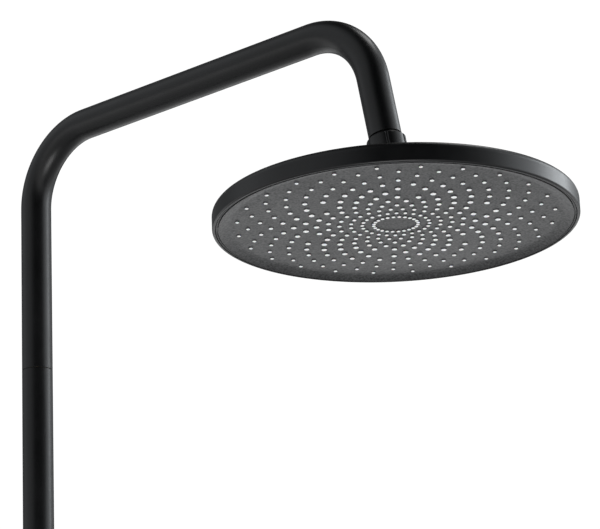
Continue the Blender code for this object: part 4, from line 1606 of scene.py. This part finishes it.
    def build_nozzles(self) -> None:
        """Silicone mat behind the face with the soft nozzles that come through it."""
        under, over = self.face_back + CLEARANCE, self.face_back + CLEARANCE + self.mat_thickness
        holes = []
        for x, y, radius in self.nozzles():
            tip = self.face_height(math.hypot(x, y)) - self.collar_height - self.tip_proud
            holes.append(
                Hole(x, y, [
                    (radius, under),
                    (radius, tip + 0.25 * MM),
                    (radius - 0.07 * MM, tip + 0.08 * MM),
                    (radius - 0.25 * MM, tip),
                    (self.orifice + 0.08 * MM, tip),
                    (self.orifice, tip + 0.1 * MM),
                    (self.orifice, over),
                ])
            )
        clear = self.boss_radius + CLEARANCE
        holes += self.bosses([(clear, under), (clear, over)])
        edge = [(self.field_radius, under), (self.field_radius, over)]
        mat = PiercedDisc(
            self.centre, lambda _: under, lambda _: over, edge, holes, guide_pitch=self.ring_pitch
        )
        add_piece("spray_nozzles", mat.build(), self.finishes.silicone, Body.HEAD, "nozzle_mat")

    def build(self) -> None:
        """Builds the head."""
        self.build_shell()
        self.build_face()
        self.build_nozzles()


@dataclass
class HiddenPieces:
    """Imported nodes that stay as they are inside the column, each with its finish."""

    finishes: Finishes

    def dress(self, nodes: dict[str, bpy.types.Object]) -> None:
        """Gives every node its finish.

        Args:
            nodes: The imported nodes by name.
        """
        finishes = self.finishes
        kinds = {
            "joint_sleeve": finishes.brass,
            "arm_outlet": finishes.blacked,
            "neck_locknut": finishes.brass,
            "tail_o_ring": finishes.rubber,
            "riser_o_ring": finishes.rubber,
            "swivel_o_ring_lower": finishes.rubber,
            "swivel_o_ring_upper": finishes.rubber,
            "outlet_o_ring": finishes.rubber,
            "filter_washer": finishes.rubber,
            "ball_seal": finishes.rubber,
            "chamber_seal": finishes.rubber,
            "filter_screen": finishes.steel,
            "flow_limiter": finishes.acetal,
            "ball_liner": finishes.acetal,
            "chamber_plate": finishes.acetal,
        }
        kinds |= {f"chamber_screw_{i + 1}": finishes.steel for i in range(RainHead.screws)}
        for name, finish in kinds.items():
            node = nodes[name]
            node.data.materials.clear()
            node.data.materials.append(finish.material())
            LOG.info("%s: dressed in %s", name, finish.slot.value)
        bare = sorted(name for name, node in nodes.items() if not node.hide_render and name not in kinds)
        if bare:
            LOG.warning("nodes without a finish: %s", ", ".join(bare))


# ---------------------------------------------------------------- studio


@dataclass(frozen=True)
class Softbox:
    """One soft light."""

    name: str
    place: Vector
    aim: Vector
    width: float
    height: float
    power: float
    tint: Colour = (1.0, 1.0, 1.0)
    spread: float = math.pi

    def build(self) -> None:
        """Hangs the light, out of the camera's sight."""
        data = bpy.data.lights.new(self.name, "AREA")
        data.shape = "RECTANGLE"
        data.size, data.size_y = self.width, self.height
        data.energy = self.power
        data.color = self.tint
        data.spread = self.spread
        light = bpy.data.objects.new(self.name, data)
        light.location = self.place
        light.rotation_mode = "QUATERNION"
        light.rotation_quaternion = (self.aim - self.place).to_track_quat("-Z", "Y")
        light.visible_camera = False
        bpy.context.scene.collection.objects.link(light)
        LOG.info("softbox %s: %.1f W", self.name, self.power)


@dataclass
class Studio:
    """Pale floor, soft lights and the camera."""

    head: Vector
    eye: Vector = field(default_factory=lambda: Vector((1.41613, -1.32224, -0.37151)))
    sight: Vector = field(default_factory=lambda: Vector((0.31562, 0.0, 0.19708)))
    roll: float = math.radians(-2.34)
    lens: float = 156.9
    floor_height: float = -1.9
    floor_reach: float = 30.0
    floor_dark: Colour = (0.78, 0.78, 0.78)
    floor_light: Colour = (0.82, 0.82, 0.82)
    # Painted glow of the floor: dim right under the head as a painted shadow, full far away.
    floor_painted_glow: Span = (0.05, 0.97)
    painted_shadow_reach: Span = (0.6, 9.0)
    backdrop_glow: float = 1.05
    dome_glow: float = 0.02
    dome_tint: Colour = (0.94, 0.97, 1.0)
    daylight: Colour = (0.92, 0.965, 1.0)
    patches: tuple[tuple[Vector, Span, float], ...] = (
        (Vector((-0.53, -0.848, 0.50)), (0.55, 0.96), 0.74),
        (Vector((-0.98, 0.17, 0.40)), (0.60, 1.0), 0.18),
        (Vector((0.64, 0.77, 0.30)), (0.45, 1.0), 1.1),
    )

    def build_camera(self) -> None:
        """Long lens, low in front, turned a little about its own axis."""
        data = bpy.data.cameras.new("camera")
        data.lens = self.lens
        data.sensor_width = 36.0
        data.clip_start, data.clip_end = 0.05, 100.0
        camera = bpy.data.objects.new("camera", data)
        look = (self.sight - self.eye).to_track_quat("-Z", "Y").to_matrix().to_4x4()
        camera.matrix_world = Matrix.Translation(self.eye) @ look @ Matrix.Rotation(self.roll, 4, "Z")
        bpy.context.scene.collection.objects.link(camera)
        bpy.context.scene.camera = camera

    def build_floor(self) -> None:
        """Plain pale floor far below the head, given a painted glow that dims to a painted shadow right under
        the head.
        """
        below = Vector((self.head.x, self.head.y, self.floor_height))
        shape = bmesh.new()
        bmesh.ops.create_grid(
            shape, x_segments=8, y_segments=8, size=self.floor_reach, matrix=Matrix.Translation(below)
        )
        floor = loose("floor", shape)
        surface = Surface("pale_floor")
        clouds = surface.ranged(surface.noise(0.8, 3.0), 0.0, 1.0)
        surface.tint(self.floor_dark, self.floor_light, clouds)
        # Painted light: the floor glows more the farther it is from the spot under the head, leaving a painted
        # shadow below the head.
        glow = surface.ranged(surface.distance(below), *self.floor_painted_glow, self.painted_shadow_reach)
        surface.link(glow, "Emission Strength")
        surface.settle(Roughness=0.8)
        surface.shader.inputs["Emission Color"].default_value = (1.0, 1.0, 1.0, 1.0)
        floor.data.materials.append(surface.material)

    def lobe(
        self, tree: bpy.types.NodeTree, toward: Vector, span: Span, peak: float
    ) -> bpy.types.NodeSocket:
        """A patch of the dome that glows.

        Args:
            tree: The world's nodes.
            toward: Where the patch is.
            span: Cosines of the angles at which the glow starts and is full.
            peak: The full glow.

        Returns:
            The patch's strength.
        """
        place = tree.nodes.new("ShaderNodeTexCoord")
        dot = tree.nodes.new("ShaderNodeVectorMath")
        dot.operation = "DOT_PRODUCT"
        dot.inputs[1].default_value = toward.normalized()
        tree.links.new(place.outputs["Generated"], dot.inputs[0])
        ramp = tree.nodes.new("ShaderNodeMapRange")
        ramp.interpolation_type = "SMOOTHSTEP"
        ramp.inputs["From Min"].default_value = span[0]
        ramp.inputs["From Max"].default_value = span[1]
        ramp.inputs["To Min"].default_value = 0.0
        ramp.inputs["To Max"].default_value = peak
        tree.links.new(dot.outputs["Value"], ramp.inputs["Value"])
        return ramp.outputs["Result"]

    def build_world(self) -> None:
        """White behind the object, and a dark dome round it with soft light patches."""
        world = bpy.data.worlds.new("studio")
        bpy.context.scene.world = world
        world.use_nodes = True
        tree = world.node_tree
        tree.nodes.clear()
        strength = tree.nodes.new("ShaderNodeValue").outputs["Value"]
        strength.default_value = self.dome_glow
        for toward, span, peak in self.patches:
            total = tree.nodes.new("ShaderNodeMath")
            total.operation = "ADD"
            tree.links.new(strength, total.inputs[0])
            tree.links.new(self.lobe(tree, toward, span, peak), total.inputs[1])
            strength = total.outputs["Value"]
        dome = tree.nodes.new("ShaderNodeBackground")
        dome.inputs["Color"].default_value = (*self.dome_tint, 1.0)
        tree.links.new(strength, dome.inputs["Strength"])
        backdrop = tree.nodes.new("ShaderNodeBackground")
        backdrop.inputs["Color"].default_value = (1.0, 1.0, 1.0, 1.0)
        backdrop.inputs["Strength"].default_value = self.backdrop_glow
        rays = tree.nodes.new("ShaderNodeLightPath")
        mix = tree.nodes.new("ShaderNodeMixShader")
        tree.links.new(rays.outputs["Is Camera Ray"], mix.inputs["Fac"])
        tree.links.new(dome.outputs["Background"], mix.inputs[1])
        tree.links.new(backdrop.outputs["Background"], mix.inputs[2])
        output = tree.nodes.new("ShaderNodeOutputWorld")
        tree.links.new(mix.outputs["Shader"], output.inputs["Surface"])

    def build_lights(self) -> None:
        """Two softboxes to the right of the head, a small one over it and a low fill in front."""
        Softbox(
            "right_strip",
            place=self.head + Vector((0.49, 0.97, 0.38)),
            aim=self.head + Vector((0.06, 0.0, 0.0)),
            width=0.55,
            height=0.7,
            power=1.2,
            tint=self.daylight,
            spread=math.radians(80.0),
        ).build()
        Softbox(
            "right_wide",
            place=self.head + Vector((0.85, 0.60, 0.32)),
            aim=self.head - Vector((0.15, 0.0, 0.0)),
            width=0.6,
            height=0.8,
            power=1.9,
            tint=self.daylight,
        ).build()
        Softbox(
            "high_strip",
            place=self.head + Vector((0.12, 0.42, 1.05)),
            aim=self.head,
            width=0.4,
            height=0.4,
            power=1.6,
        ).build()
        Softbox(
            "low_fill",
            place=self.head + Vector((0.9, -1.1, -1.6)),
            aim=self.head,
            width=1.0,
            height=1.0,
            power=19.0,
        ).build()

    def build(self) -> None:
        """Builds the studio."""
        bpy.context.scene.view_settings.view_transform = "Standard"
        bpy.context.scene.view_settings.look = "None"
        self.build_camera()
        self.build_floor()
        self.build_world()
        self.build_lights()


def main() -> None:
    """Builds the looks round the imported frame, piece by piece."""
    logging.basicConfig(level=logging.INFO, format="%(name)s: %(message)s")
    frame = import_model()
    pivot = Vector(next(j for j in frame["joints"] if j["name"] == "head_spin")["pos_m"])
    shell_low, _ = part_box("back_shell")
    centre = Vector((pivot.x, pivot.y, shell_low.z - RainHead.rim_bottom))

    finishes = Finishes.around(centre)
    WallBracket(finishes).build()
    Riser(finishes).build()
    arm = Arm(finishes)
    arm.build()
    BallJoint(finishes, pivot, arm.slant).build()
    RainHead(finishes, centre).build()
    HiddenPieces(finishes).dress(frame["nodes"])
    Studio(centre).build()


if __name__ == "__main__":
    main()
